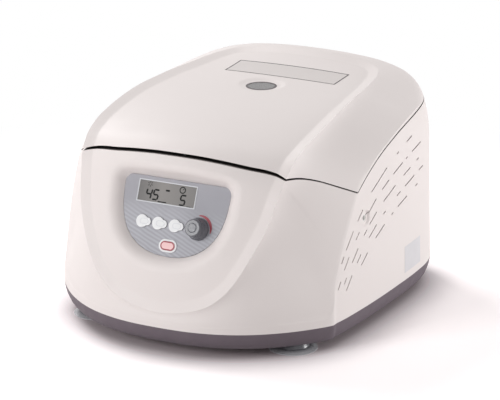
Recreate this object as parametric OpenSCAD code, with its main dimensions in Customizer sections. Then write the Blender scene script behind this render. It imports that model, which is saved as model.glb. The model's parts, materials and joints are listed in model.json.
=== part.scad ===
// Microplate centrifuge: moulded housing with a front recess and a rear-hinged lid,
// over a steel chamber with a swing-out rotor for two plates.

/* [Body] */
// Width over the side walls
body_w = 330; // [328:1:350]
// Depth from the front face to the rear wall
body_d = 377; // [375:1:400]
// Height of the lid's middle above the table, with the rear dome 9 mm higher
body_h = 226; // [225:1:236]
// Thickness of the moulded shells
wall = 3; // [2.4:0.1:3.6]
// Top of the grey base pan
skirt_z = 29; // [27:1:31]
// Width of the dark gap between lid and housing
seam_gap = 3.2; // [2:0.1:4]
// Depth of the dished lid and front below their rim
lip = 3.5; // [2:0.1:5]
// Width of the sloped rim around the dish
rim_w = 12; // [8:0.5:14]

/* [Lid] */
// Radius of the sight window
window_r = 14; // [10:0.5:16]
// Radius of the shallow dish around the window
window_dish_r = 22; // [19:0.5:26]
// Radius of a hinge pin
hinge_pin_r = 2.5; // [2:0.1:3]
// Distance of each hinge from the middle
hinge_x = 80; // [76:1:84]

/* [Chamber] */
// Inner radius of the steel bowl
bowl_r = 137; // [136.5:0.25:137.5]
// Thickness of the bowl sheet
bowl_t = 1.5; // [1:0.1:2]
// Height of the bowl floor
bowl_floor_z = 72; // [71:0.5:74]
// Height of the bowl's flange
bowl_top_z = 174; // [172:0.5:175]
// Rotor axis, measured from the middle of the body towards the rear
rotor_y = 38; // [37.5:0.25:38.5]
// Thickness of the steel guard around the bowl
guard_t = 2.5; // [1.5:0.1:3]

/* [Rotor] */
// Length of a standard microplate
plate_l = 127.76; // [127.5:0.01:128]
// Width of a standard microplate
plate_w = 85.48; // [85.2:0.01:85.8]
// Clearance around a plate in its bucket
plate_gap = 0.4; // [0.2:0.05:0.6]
// Distance of a bucket's swing axis from the rotor axis
swing_r = 66; // [65.5:0.25:66.5]
// Height of the swing axis
swing_z = 132; // [131:0.5:134]
// Depth of the bucket floor below the swing axis
bucket_drop = 22; // [20:0.5:23]
// Height of the bucket's walls
bucket_h = 16; // [12:0.5:17]
// Thickness of the bucket sheet
bucket_t = 1.4; // [1:0.1:1.6]
// Radius of the motor shaft
shaft_r = 6; // [5:0.25:6.5]

/* [Controls] */
// Lean of the control panel from upright, in degrees
panel_tilt = 22.2; // [20:0.1:24]
// Half width of the control panel along its top
panel_hw = 60; // [56:0.5:62]
// Length of the control panel down its slope
panel_len = 78; // [76:0.5:80]
// Thickness of the control panel
panel_t = 2.5; // [2:0.1:3]
// Width of the display window
display_w = 64.5; // [60:0.5:66]
// Height of the display window
display_h = 21; // [18:0.5:22]
// Radius of the control knob's base
knob_r = 11.5; // [10.5:0.25:12]
// Radius of a soft key
key_r = 6.5; // [5.5:0.1:7]
// Travel of a soft key
key_travel = 0.8; // [0.5:0.1:1]
// Gap around each key and knob in its hole
key_gap = 0.25; // [0.15:0.05:0.35]
// Width of the start and stop button
start_w = 16; // [14:0.5:17]
// Height of the start and stop button
start_h = 9; // [8:0.5:10]

/* [Feet and rear] */
// Radius of a foot at the table
foot_r = 25; // [22:0.5:26]
// Height of the feet
foot_h = 10; // [9:0.5:11]
// Radius of the foot screws
foot_screw_r = 2.5; // [2:0.1:3]
// Side of the square fan
fan_s = 40; // [38:1:42]
// Depth of the fan
fan_t = 15; // [10:1:18]

/* [Hidden] */
$fn = 64;
eps = 0.01;

// Scales of the moulded form from its nominal 330 x 377 x 226
sx = body_w / 330;
sy = body_d / 377;
sz = (body_h - skirt_z) / (226 - 29);
function to_z(z) = skirt_z + (z - 29) * sz;

// Closed and open smooth curves through a list of points
function blend4(a, b, c, d, f) =
    0.5 * (2 * b + (c - a) * f + (2 * a - 5 * b + 4 * c - d) * f * f + (3 * b - a - 3 * c + d) * f * f * f);
function open_curve(p, t) =
    let (n = len(p) - 1, i = min(n - 1, max(0, floor(t))), f = t - i,
         a = i > 0 ? p[i - 1] : 2 * p[0] - p[1], d = i < n - 1 ? p[i + 2] : 2 * p[n] - p[n - 1])
    blend4(a, p[i], p[i + 1], d, f);
function loop_curve(p, t) =
    let (n = len(p), i = floor(t), f = t - i)
    blend4(p[(i + n - 1) % n], p[i % n], p[(i + 1) % n], p[(i + 2) % n], f);

// Middle line of the dish, [y, z] every 30 mm from the foot of the front over the brow to the rear
dish_line = [
    [-183.5, 42], [-182, 72], [-177.5, 101.5], [-169, 130.5], [-159, 158.5], [-147.5, 186.5], [-126, 205.5],
    [-97, 212], [-67, 216.5], [-37.5, 219.5], [-7.5, 222], [22.5, 223], [52.5, 224], [82.5, 224.2],
    [112.5, 226], [142.5, 229.5], [172, 233]];
dish_step = 30;
// Sagitta of the dish 100 mm to each side of its middle line
dish_bow = [15, 15.5, 15.5, 15, 15, 15, 11.5, 6, 4, 2.5, 1.7, 1.4, 1.4, 1.6, 2.7, 6, 9];
// Stations round the right half, from the middle of the front to the middle of the rear:
// [foot x, y], [shoulder x, y, z], [rim's place along the dish line, x], lean of the flank at the rim
stations = [
    [[0, -188.5], [0, -188.2, 35], [2.5, 0], 70],
    [[32, -187], [32, -186.7, 35], [6, 28], 66],
    [[60, -181], [60, -180.7, 36], [15, 54], 58],
    [[86, -170.5], [86, -170.2, 37], [32, 73.5], 46],
    [[110, -155], [110, -154.7, 38], [54, 87], 36],
    [[133, -134], [132.6, -133.6, 39], [79, 97.7], 31],
    [[154.5, -107], [154, -106.5, 41], [104, 106.3], 29],
    [[157, -95], [155.8, -97, 75], [133, 112], 28],
    [[159.5, -77], [158, -84.5, 108], [160, 115.8], 27],
    [[161.5, -53], [160.5, -67, 142], [190, 117.8], 26],
    [[163, -30], [161, -52, 162.5], [218, 119.2], 26],
    [[164.3, 0], [161, -19, 179.5], [255, 119], 26],
    [[165, 35], [160.3, 20, 191], [295, 116.8], 28],
    [[165, 80], [156.5, 68, 199], [350, 111.3], 36],
    [[162, 120], [151.5, 112, 202.5], [410, 102.8], 52],
    [[152.5, 149.5], [145, 141, 203], [440, 96], 70],
    [[136, 172.5], [131, 165, 203.5], [457, 86], 80],
    [[110, 185.5], [107.5, 179, 204.3], [466, 69], 84],
    [[70, 188.5], [69, 184, 205], [469, 45], 85],
    [[0, 188.5], [0, 184.7, 205], [470, 0], 85]];
half = len(stations) - 1;
turn = 2 * half;
function flip(v, m) = m ? [for (i = [0 : len(v) - 1]) i == 0 ? -v[0] : v[i]] : v;
feet_line = [for (i = [0 : turn - 1]) flip(stations[i <= half ? i : turn - i][0], i > half)];
shoulder_line = [for (i = [0 : turn - 1]) flip(stations[i <= half ? i : turn - i][1], i > half)];
rim_line = [for (i = [0 : turn - 1]) let (s = stations[i <= half ? i : turn - i][2]) [s[0], i > half ? -s[1] : s[1]]];
lean_line = [for (i = [0 : turn - 1]) stations[i <= half ? i : turn - i][3]];

function foot_at(t) = let (p = loop_curve(feet_line, t)) [p[0] * sx, p[1] * sy, skirt_z];
function shoulder_at(t) =
    let (p = loop_curve(shoulder_line, t)) [p[0] * sx, p[1] * sy, to_z(max(p[2], 34.5))];
// A point of the dish: a along the middle line, x to the side, raised by up
function dish_at(a, x, up = 0) =
    let (s = min(16, max(0, a / dish_step)), p = open_curve(dish_line, s),
         e = open_curve(dish_line, min(16, s + 0.02)) - open_curve(dish_line, max(0, s - 0.02)),
         u = e / norm(e), q = p + [-u[1], u[0]] * (up - open_curve(dish_bow, s) * pow(x / 100, 2)))
    [x * sx, q[0] * sy, to_z(q[1])];
function dish_normal(a, x) =
    let (du = dish_at(a + 1, x) - dish_at(a - 1, x), dx = dish_at(a, x + 1) - dish_at(a, x - 1), n = cross(dx, du))
    n / norm(n);
rim_pole = [350, 0];
function rim_inward(t) =
    let (e = loop_curve(rim_line, t + 0.05) - loop_curve(rim_line, t + turn - 0.05)) [e[1], -e[0]] / norm(e);
function rim_inset(t, w) = loop_curve(rim_line, t) + rim_inward(t) * w;
// The flank rises from the shoulder to the rim: upright at the foot of the front, hollow under the
// side rims and full behind the rear rim
function clamp01(v) = min(1, max(0, v));
function flank_at(t, f) =
    let (l = shoulder_at(t), r = loop_curve(rim_line, t), k = dish_at(r[0], r[1], lip), d = norm(k - l),
         g = t <= half ? t : turn - t, w = min(clamp01((g - 5) / 2.5), clamp01((16.5 - g) / 3)),
         phi = loop_curve(lean_line, t), i = rim_inset(t, 4), o = dish_at(r[0], r[1]) - dish_at(i[0], i[1]),
         p1 = l + w * (k - l) * 0.33 + (1 - w) * [0, 0, (0.45 + 0.3 * clamp01((g - 13) / 3)) * (k[2] - l[2])],
         p2 = k + d * (0.24 + 0.3 * clamp01((phi - 40) / 45)) *
              (o / norm(o) * sin(phi) - dish_normal(r[0], r[1]) * cos(phi)), h = 1 - f)
    h * h * h * l + 3 * h * h * f * p1 + 3 * h * f * f * p2 + f * f * f * k;
function wall_at(t, f) =
    let (b = foot_at(t), l = shoulder_at(t), c = [b[0] * 0.85 + l[0] * 0.15, b[1] * 0.85 + l[1] * 0.15, l[2]],
         k = max(0, (f - 0.8) / 0.2))
    b + (c - b) * f + (l - c) * (0.35 * f + 0.65 * k * k);
flank_rows = 6;
// Rows of the dish bunch up where the front turns over the brow, at 166 mm along the middle line
function dish_steps(a0) =
    let (r = rim_pole[0] - a0, near = a0 > 132, f1 = near ? 0.08 : (150 - a0) / r,
         f2 = near ? 0.15 : (166 - a0) / r, f3 = near ? 0.24 : (184 - a0) / r)
    [0, f1 / 2, f1, f2, f3, f3 + 0.35 * (1 - f3), f3 + 0.7 * (1 - f3)];
function column(t) =
    let (e = rim_inset(t, rim_w))
    concat(
        [for (f = [0, 0.5, 0.82, 0.93]) wall_at(t, f)],
        [for (i = [0 : flank_rows]) flank_at(t, i / flank_rows)],
        [for (f = dish_steps(e[0])) let (q = e + (rim_pole - e) * f) dish_at(q[0], q[1])]);

// The whole outer form of lid and housing as one closed solid
module form(per_station = 2) {
    cols = turn * per_station;
    pts = [for (i = [0 : cols - 1]) each column(i / per_station)];
    n = len(pts) / cols;
    low = cols * n;
    sides = [for (i = [0 : cols - 1], j = [0 : n - 2])
        let (a = i * n + j, b = (i + 1) % cols * n + j) each [[a, a + 1, b], [b, a + 1, b + 1]]];
    caps = [for (i = [0 : cols - 1]) let (a = i * n, b = (i + 1) % cols * n) each
        [[low, a, b], [a + n - 1, low + 1, b + n - 1]]];
    polyhedron(concat(pts, [[0, 0, skirt_z], dish_at(rim_pole[0], 0)]), concat(sides, caps), convexity = 6);
}

// Outline of the foot of the body, for the base pan
function outline(n) = [for (i = [0 : n - 1]) let (p = foot_at(i * turn / n)) [p[0], p[1]]];

// Seam between lid and housing: its height across the front and along the sides
side_seam = [[-80, 142], [-40, 166.5], [0, 183.2], [40, 192.2], [80, 197.2], [120, 200.6], [160, 203], [200, 205.5]];
front_seam = [196.5, 196, 194.2, 191.3, 187.9, 180.2, 164.2, 147];
front_seam_step = 25;
function seam_front(x) = to_z(open_curve(front_seam, abs(x) / front_seam_step / sx));
module below_front(shift)
    rotate([90, 0, 0]) linear_extrude(2 * body_d, center = true)
        polygon(concat([for (i = [-14 : 14]) [i * 12.5 * sx, seam_front(i * 12.5 * sx) + shift]], [[200, -50], [-200, -50]]));
module below_side(shift)
    rotate([90, 0, 90]) linear_extrude(2 * body_w, center = true)
        polygon(concat([[-260, to_z(35)]],
            [for (i = [0 : 19]) let (q = open_curve(side_seam, i * 7 / 19)) [q[0] * sy, to_z(q[1]) + shift]],
            [[260, to_z(208) + shift], [260, -50], [-260, -50]]));
module below_seam(shift) {
    below_front(shift);
    below_side(shift);
}
// The same form smaller by a wall, for hollowing the shells
module inner_form(t, per_station = 1)
    translate([0, 0, -t]) scale([1 - 2 * t / body_w, 1 - 2 * t / body_d, 1]) form(per_station);

// Control panel's own frame: x to the right, y up the slope, z out of the panel's face
panel_y = -136.5 * sy;
panel_z = to_z(169.2);
module on_panel() translate([0, panel_y, panel_z]) rotate([90 - panel_tilt, 0, 0]) children();
module panel_d(grow = 0) {
    n = 10;
    y0 = min(grow, 0);
    side = [for (i = [0 : n]) let (v = sin(90 * i / n))
        [(panel_hw + grow) * pow(1 - pow(v, 3), 1 / 2.2), y0 - (panel_len + grow + y0) * v]];
    polygon(concat([[-panel_hw - grow, grow]], [[panel_hw + grow, grow]], side, [for (i = [n - 1 : -1 : 0]) [-side[i][0], side[i][1]]]));
}

// Chamber and hinge positions that follow from the sizes above
floor_z = foot_h;
pan_t = 3;
chassis_z = floor_z + pan_t;
chassis_t = 2;
deck_z = chassis_z + chassis_t;
collar_z = bowl_top_z + 2;
rim_z = collar_z + 9;
collar_r = bowl_r - 1.5;
flange_r = bowl_r + bowl_t + 4.5;
hinge_y = 183 * sy;
hinge_z = to_z(200.5);
knuckle_r = hinge_pin_r + 2.8;
knuckle_w = 22;
ear_t = 4;
ear_gap = 0.4;
liner_z = rim_z + 5;
liner_t = 3;
liner_r = bowl_r + 3.5;
window_y = 46 * sy;
latch_y = -119.5 * sy;
fit = 0.05;
foot_xy = [[114 * sx, -108 * sy], [-114 * sx, -108 * sy], [112 * sx, 126 * sy], [-112 * sx, 126 * sy]];
white = [0.9, 0.88, 0.87];
grey = [0.4, 0.4, 0.43];
steel = [0.72, 0.73, 0.74];
black = [0.12, 0.12, 0.13];

module at_rotor() translate([0, rotor_y, 0]) children();
module ring(ro, ri, z0, z1) translate([0, 0, z0]) difference() {
    cylinder(r = ro, h = z1 - z0);
    translate([0, 0, -1]) cylinder(r = ri, h = z1 - z0 + 2);
}
module block(x0, x1, y0, y1, z0, z1) translate([x0, y0, z0]) cube([x1 - x0, y1 - y0, z1 - z0]);
module both() {
    children();
    mirror([1, 0, 0]) children();
}

module base_pan() color(grey) difference() {
    hull() {
        translate([0, 0, skirt_z - 2]) linear_extrude(2) polygon(outline(turn));
        translate([0, 0, floor_z + 6]) linear_extrude(1) scale([0.985, 0.98]) polygon(outline(turn));
        translate([0, 0, floor_z]) linear_extrude(1) scale([0.955, 0.93]) polygon(outline(turn));
    }
    hull() {
        translate([0, 0, skirt_z - 1]) linear_extrude(4) scale([0.975, 0.978]) polygon(outline(half));
        translate([0, 0, chassis_z]) linear_extrude(1) scale([0.94, 0.92]) polygon(outline(half));
    }
    for (p = foot_xy) translate([p[0], p[1], 0]) cylinder(r = foot_screw_r + 0.1, h = 60);
    for (i = [-4 : 4], m = [-1, 1]) block(m * 60 - 14, m * 60 + 14, i * 9 * sy - 2, i * 9 * sy + 2, 0, chassis_z + 1);
}

module chassis_plate() color(steel) difference() {
    translate([0, 0, chassis_z]) linear_extrude(chassis_t) scale([0.92, 0.9]) polygon(outline(half));
    for (p = foot_xy) translate([p[0], p[1], 0]) cylinder(r = foot_screw_r + 0.1, h = 60);
    for (i = [-4 : 4], m = [-1, 1]) block(m * 60 - 12, m * 60 + 12, i * 9 * sy - 1.5, i * 9 * sy + 1.5, 0, 60);
}

module foot(p) color(grey) translate([p[0], p[1], 0]) difference() {
    rotate_extrude() polygon([
        [foot_screw_r + 0.1, foot_h], [foot_screw_r + 0.1, foot_h - 3], [7, foot_h - 4.5], [foot_r - 8, 1.6], [foot_r - 5, 0],
        [foot_r, 0], [foot_r, 0.8], [foot_r - 8, 3.6], [foot_r - 10, foot_h - 1.5], [foot_r - 11, foot_h]]);
}
module foot_front_right() foot(foot_xy[0]);
module foot_front_left() foot(foot_xy[1]);
module foot_rear_right() foot(foot_xy[2]);
module foot_rear_left() foot(foot_xy[3]);

module foot_screws() color(steel) for (p = foot_xy) translate([p[0], p[1], 0]) {
    translate([0, 0, foot_h - 5.8]) cylinder(r = foot_screw_r + 2, h = 2.1);
    translate([0, 0, foot_h - 4]) cylinder(r = foot_screw_r, h = deck_z + 1 - foot_h + 4);
    ring(foot_screw_r + 2, foot_screw_r, deck_z, deck_z + 3);
}

// Cooling slots of the side walls: rows along one curve, stepped down, each with its own dashes
slot_curve = [-94, -61, -38, -21, -8.7, 0, 6.7, 12, 16, 19.5, 22, 24];
slot_w = 2.2;
slot_rows = [
    [162, [[-87, -83.5], [-79, -66], [-57, -47], [-27, 8], [35, 39], [62, 76]]],
    [146, [[-93, -89], [-82, -74], [-60, -54], [-39, -17], [-2, 13], [25, 48], [58, 61], [75, 100]]],
    [131, [[-82, -78.5], [-67, -56], [-43, -38], [-31, -16], [1, 29], [51, 69], [88, 93]]],
    [117.5, [[-78, -68], [-57, -50], [-32, -16], [1, 5], [34, 42], [55, 80], [95, 106]]],
    [104.5, [[-48, -36], [-17, 3], [20.5, 24], [36, 59], [84, 89]]]];
function slot_end(y, c) = [y * sy, to_z(c + open_curve(slot_curve, (y + 100) / 20))];
module side_slots() translate([body_w / 2 - 20, 0, 0]) rotate([90, 0, 90])
    for (r = slot_rows, d = r[1]) linear_extrude(30) hull() for (y = d) translate(slot_end(y, r[0]))
        circle(d = slot_w, $fn = 6);
release_yz = [-40 * sy, to_z(125)];
release_r = 4;

well_r = bowl_r + 8;
notch_x = hinge_x - knuckle_w / 2 - ear_gap - ear_t - 2;
notch_w = knuckle_w + 2 * (ear_gap + ear_t + 2);
rear_x = 88;
rear_z0 = skirt_z + 5;
rear_z1 = skirt_z + 66;
board_z = -14.4;
board_post = [[59.3, -8], [55.8, -38]];
hook_w = 12;
hook_t = 3;
module housing_skin() difference() {
    intersection() {
        form();
        below_seam(-seam_gap / 2);
    }
    intersection() {
        inner_form(wall);
        below_seam(-seam_gap / 2 - wall);
    }
}
module housing_body() difference() {
    union() {
        housing_skin();
        intersection() {
            form();
            at_rotor() ring(well_r + wall, collar_r, collar_z, rim_z);
        }
        intersection() {
            form();
            below_seam(-seam_gap / 2);
            union() {
                at_rotor() ring(well_r + wall, well_r, rim_z - 1, 230);
                block(-rear_x - 3, rear_x + 3, panel_back, 250, skirt_z, rear_z1 + 5);
                on_panel() hull() {
                    translate([0, 0, -panel_t - wall]) linear_extrude(1) panel_d(wall);
                    translate([0, 0, 20]) linear_extrude(1) panel_d(19);
                }
            }
        }
        on_panel() both() for (p = board_post) translate([p[0], p[1], board_z]) cylinder(r = 3, h = -board_z - panel_t - 1);
    }
    at_rotor() translate([0, 0, rim_z]) cylinder(r = well_r, h = 80);
    at_rotor() translate([0, 0, 1]) cylinder(r = collar_r, h = 300);
    at_rotor() translate([0, 0, 1]) cylinder(r = flange_r + 0.4, h = collar_z - 1);
    on_panel() {
        hull() {
            translate([0, 0, -panel_t]) linear_extrude(panel_t) panel_d(key_gap);
            translate([0, 0, 16]) linear_extrude(1) panel_d(13);
        }
        translate([0, 0, -panel_t - 4]) linear_extrude(5) panel_d(-5);
    }
    both() {
        side_slots();
        translate([notch_x, hinge_y - 9, hinge_z - 10]) cube([notch_w, 30, 60]);
    }
    block(-hook_t / 2 - 3.5, hook_t / 2 + 3.5, latch_y - hook_w / 2 - 4, latch_y + hook_w / 2 + 1, to_z(185), 300);
    block(-rear_x + 3, rear_x - 3, 150, 250, rear_z0, rear_z1);
}
module housing() color(white) difference() {
    union() {
        housing_body();
    }
    translate([100, release_yz[0], release_yz[1]]) rotate([0, 90, 0]) cylinder(r = release_r, h = 100, $fn = 24);
}

release_x = 160.9 * sx;
module release_bush() color(white) translate([release_x - 7, release_yz[0], release_yz[1]]) rotate([0, 90, 0]) difference() {
    union() {
        cylinder(r = release_r - fit, h = 6);
        cylinder(r = release_r + 2, h = 3.2);
    }
    translate([0, 0, -1]) cylinder(r = release_r - 1.2, h = 9);
}

post_y = hinge_y - 8.5;
post_t = 2.5;
post_foot_y = post_y - 8.5;
module hinge_post() color(steel) difference() {
    union() {
        translate([hinge_x - 14, post_y, skirt_z + 1]) cube([28, post_t, hinge_z - skirt_z - 15]);
        translate([hinge_x - 14, post_foot_y, skirt_z + 1]) cube([28, post_y + post_t - post_foot_y, post_t]);
        translate([hinge_x - 14, post_foot_y, deck_z]) cube([28, post_t, skirt_z + 1 + post_t - deck_z]);
        translate([hinge_x - 14, post_foot_y - 15, deck_z]) cube([28, 16, post_t]);
        for (m = [-1, 1]) translate([hinge_x + m * (knuckle_w / 2 + ear_gap + ear_t / 2), 0, 0]) rotate([90, 0, 90])
            translate([0, 0, -ear_t / 2]) linear_extrude(ear_t) union() {
                translate([hinge_y, hinge_z]) circle(r = knuckle_r);
                polygon([[post_y, hinge_z - 14.5], [post_y + 4, hinge_z - 14.5], [post_y + 5, hinge_z - 9.5],
                    [hinge_y + knuckle_r * 0.9, hinge_z - knuckle_r * 0.4],
                    [hinge_y, hinge_z], [post_y, hinge_z - 4]]);
            }
        translate([hinge_x - knuckle_w / 2 - ear_gap - ear_t, post_y, hinge_z - 15.5]) cube([knuckle_w + 2 * (ear_gap + ear_t), post_t, 3]);
    }
    translate([0, hinge_y, hinge_z]) rotate([0, 90, 0]) cylinder(r = hinge_pin_r, h = 200);
    for (m = [-1, 1]) translate([hinge_x + m * 8, post_foot_y - 8, 0]) cylinder(r = 2.1, h = deck_z + 8);
}
module hinge_post_right() hinge_post();
module hinge_post_left() mirror([1, 0, 0]) hinge_post();
module hinge_pins() color(steel) both() translate([hinge_x - knuckle_w / 2 - ear_gap - ear_t - 0.5, hinge_y, hinge_z])
    rotate([0, 90, 0]) {
        cylinder(r = hinge_pin_r, h = knuckle_w + 2 * (ear_gap + ear_t) + 1);
        translate([0, 0, -1.5]) cylinder(r = hinge_pin_r + 1.2, h = 1.5);
    }

module bowl_shape(r, z0, rc, z1) {
    translate([0, z0]) square([r - rc, z1 - z0]);
    translate([0, z0 + rc]) square([r, z1 - z0 - rc]);
    translate([r - rc, z0 + rc]) circle(r = rc);
}
bowl_corner = 20;
bore_r = shaft_r + 10;
module rotor_bowl() color(steel) at_rotor() difference() {
    rotate_extrude() difference() {
        union() {
            bowl_shape(bowl_r + bowl_t, bowl_floor_z - bowl_t, bowl_corner + bowl_t, bowl_top_z);
            translate([0, bowl_top_z - bowl_t]) square([flange_r, bowl_t]);
        }
        bowl_shape(bowl_r, bowl_floor_z, bowl_corner, bowl_top_z + 10);
        translate([0, 0]) square([bore_r, 100]);
    }
}
module bowl_gasket() color(black) at_rotor() ring(flange_r, bowl_r, bowl_top_z, collar_z);
standoff_r = 108;
module bowl_standoffs() color(steel) at_rotor() for (a = [45 : 90 : 315]) rotate(a) translate([standoff_r, 0, deck_z])
    cylinder(r = 6, h = bowl_floor_z - bowl_t - deck_z);
guard_r = bowl_r + bowl_t + 2;
module guard_ring() color(grey) at_rotor() difference() {
    ring(guard_r + guard_t, guard_r, deck_z, bowl_top_z - bowl_t - 1);
    for (a = [0 : 90 : 270]) rotate(a) translate([100, -98, deck_z - 1]) cube([60, 196, bowl_floor_z + 8 - deck_z]);
}

// Drive: motor on a sprung plate under the bowl
damper_h = 12;
mount_z = deck_z + damper_h;
mount_t = 3;
motor_z0 = mount_z + mount_t;
motor_z1 = bowl_floor_z - bowl_t - 8;
motor_r = 47;
damper_x = 52;
bearing_r = shaft_r + 7;
bearing_h = 8;
module at_dampers() at_rotor() for (x = [-1, 1], y = [-1, 1]) translate([x * damper_x, y * damper_x, 0]) children();
module motor_dampers() color(black) at_dampers() translate([0, 0, deck_z]) cylinder(r = 8, h = damper_h);
module motor_mount_plate() color(steel) at_rotor() difference() {
    translate([-64, -64, mount_z]) cube([128, 128, mount_t]);
    cylinder(r = 20, h = 100);
    for (x = [-1, 1], y = [-1, 1]) translate([x * 40, y * 40, 0]) cylinder(r = 2.2, h = 100);
}
module motor_stator() color(grey) at_rotor() difference() {
    union() {
        translate([0, 0, motor_z0]) cylinder(r = motor_r, h = motor_z1 - motor_z0);
        translate([0, 0, motor_z0]) cylinder(r = motor_r + 5, h = 4);
    }
    cylinder(r = shaft_r + 3, h = 100);
    translate([0, 0, motor_z0 - 1]) cylinder(r = bearing_r, h = bearing_h + 1);
    translate([0, 0, motor_z1 - bearing_h]) cylinder(r = bearing_r, h = bearing_h + 1);
    for (a = [0 : 15 : 345]) rotate(a) translate([motor_r - 1.5, -1.5, motor_z0 + 6]) cube([6, 3, motor_z1 - motor_z0 - 9]);
}
module motor_bearings() color(steel) at_rotor() for (z = [motor_z0, motor_z1 - bearing_h])
    ring(bearing_r, shaft_r + fit, z, z + bearing_h);
hub_z0 = swing_z - 16;
hub_z1 = swing_z + 14;
hub_r = 17;
module motor_shaft() color(steel) at_rotor() {
    translate([0, 0, mount_z - 3]) cylinder(r = shaft_r, h = hub_z0 - mount_z + 3);
    translate([0, 0, hub_z0 - 6]) cylinder(r = shaft_r + 4, h = 6);
    translate([0, 0, hub_z0]) cylinder(r = shaft_r, h = hub_z1 - hub_z0);
    translate([0, 0, hub_z1]) cylinder(r = 4, h = 14);
}
module shaft_boot() color(black) at_rotor() difference() {
    union() {
        translate([0, 0, bowl_floor_z]) cylinder(r = bore_r + 4, h = 3);
        translate([0, 0, bowl_floor_z - bowl_t]) cylinder(r = bore_r, h = bowl_t);
        translate([0, 0, bowl_floor_z - bowl_t - 3]) cylinder(r = bore_r + 4, h = 3);
        translate([0, 0, bowl_floor_z + 3]) cylinder(r1 = bore_r, r2 = shaft_r + 4, h = 8);
    }
    cylinder(r = shaft_r + 0.6, h = 200);
}

// Swing-out rotor and its two buckets
bucket_x = plate_w / 2 + plate_gap + bucket_t;
bucket_y = plate_l / 2 + plate_gap + bucket_t;
bucket_z = swing_z - bucket_drop;
trunnion_r = 4;
arm_gap = 1.2;
arm_t = 7;
arm_y = bucket_y + arm_gap;
arm_h = 20;
module rotor_yoke() color(steel) at_rotor() difference() {
    union() {
        translate([0, 0, hub_z0]) cylinder(r = hub_r, h = hub_z1 - hub_z0);
        translate([-8, -arm_y - 1, swing_z + 2]) cube([16, 2 * arm_y + 2, 10]);
        for (m = [-1, 1]) translate([0, m * (arm_y + arm_t / 2), swing_z]) {
            translate([-swing_r, -arm_t / 2, -8]) cube([2 * swing_r, arm_t, arm_h]);
            for (n = [-1, 1]) translate([n * swing_r, 0, 2]) rotate([90, 0, 0]) cylinder(r = 10, h = arm_t, center = true);
        }
    }
    cylinder(r = shaft_r, h = 300);
    for (m = [-1, 1], n = [-1, 1]) translate([m * swing_r, n * (arm_y + arm_t / 2), swing_z]) rotate([90, 0, 0])
        cylinder(r = trunnion_r, h = arm_t + 2, center = true);
    for (m = [-1, 1], n = [-1, 1]) translate([n * 34, m * (arm_y + arm_t / 2), swing_z + 2]) rotate([90, 0, 0])
        cylinder(r = 5, h = arm_t + 2, center = true);
}
module trunnion_pins() color(steel) at_rotor() for (m = [-1, 1], n = [-1, 1]) translate([m * swing_r, n * (bucket_y - 3.6), swing_z])
    rotate([-n * 90, 0, 0]) cylinder(r = trunnion_r, h = arm_gap + arm_t + 3.6);
module rotor_nut() color(black) at_rotor() translate([0, 0, hub_z1]) difference() {
    union() {
        cylinder(r = 12, h = 3);
        cylinder(r = 10, h = 15);
        for (a = [0 : 30 : 330]) rotate(a) translate([9.5, 0, 2]) cylinder(r = 1.8, h = 13);
    }
    translate([0, 0, -1]) cylinder(r = 4, h = 15);
}
module bucket(m) color(steel) at_rotor() translate([m * swing_r, 0, 0]) difference() {
    union() {
        translate([-bucket_x, -bucket_y, bucket_z]) cube([2 * bucket_x, 2 * bucket_y, bucket_h]);
        for (n = [-1, 1]) translate([0, n * (bucket_y - bucket_t / 2), 0]) {
            translate([0, 0, swing_z]) rotate([90, 0, 0]) cylinder(r = 9, h = bucket_t, center = true);
            translate([-9, -bucket_t / 2, bucket_z + 2]) cube([18, bucket_t, bucket_drop - 2]);
        }
    }
    translate([-bucket_x + bucket_t, -bucket_y + bucket_t, bucket_z + bucket_t]) cube([2 * (bucket_x - bucket_t), 2 * (bucket_y - bucket_t), 60]);
    translate([0, 0, swing_z]) rotate([90, 0, 0]) cylinder(r = trunnion_r + fit, h = 300, center = true);
    for (x = [-1, 0, 1], y = [-1.5, -0.5, 0.5, 1.5]) translate([x * 26, y * 29, bucket_z - 1]) cylinder(r = 6, h = 5);
}
module bucket_right() bucket(1);
module bucket_left() bucket(-1);

// Controls, in the panel's own frame
display_x = -11.2;
display_s = 15.1;
key_x = [-33.4, -15, 3.9];
key_s = 46;
knob_x = 30.5;
knob_s = 45.5;
start_s = 67;
key_rise = 1.5;
key_lobe = [6, 4];
tact_h = 1.5;
ring_t = 1;
function tact_top() = board_z + tact_h;
module stadium(w, h) {
    square([w - h, h], center = true);
    for (m = [-1, 1]) translate([m * (w - h) / 2, 0]) circle(d = h);
}
module key_shape(grow = 0) {
    circle(r = key_r + grow);
    translate([key_lobe[0], 0]) circle(r = key_lobe[1] + grow);
}
module control_panel() color(grey) on_panel() difference() {
    translate([0, 0, -panel_t]) linear_extrude(panel_t) panel_d();
    translate([display_x - display_w / 2, -display_s - display_h / 2, -10]) cube([display_w, display_h, 20]);
    for (x = key_x) translate([x, -key_s, -10]) linear_extrude(20) key_shape(key_gap);
    translate([knob_x, -knob_s, -10]) cylinder(r = 5, h = 20);
    translate([0, -start_s, -10]) linear_extrude(20) stadium(start_w + 2 * key_gap, start_h + 2 * key_gap);
}
module display_window() color([0.35, 0.33, 0.3]) on_panel()
    translate([display_x - display_w / 2 + 0.1, -display_s - display_h / 2 + 0.1, -1.8]) cube([display_w - 0.2, display_h - 0.2, 2.1]);
module display_module() color(black) on_panel()
    translate([display_x - display_w / 2 + 0.8, -display_s - display_h / 2 + 0.8, board_z]) cube([display_w - 1.6, display_h - 1.6, -board_z - 1.85]);
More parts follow.
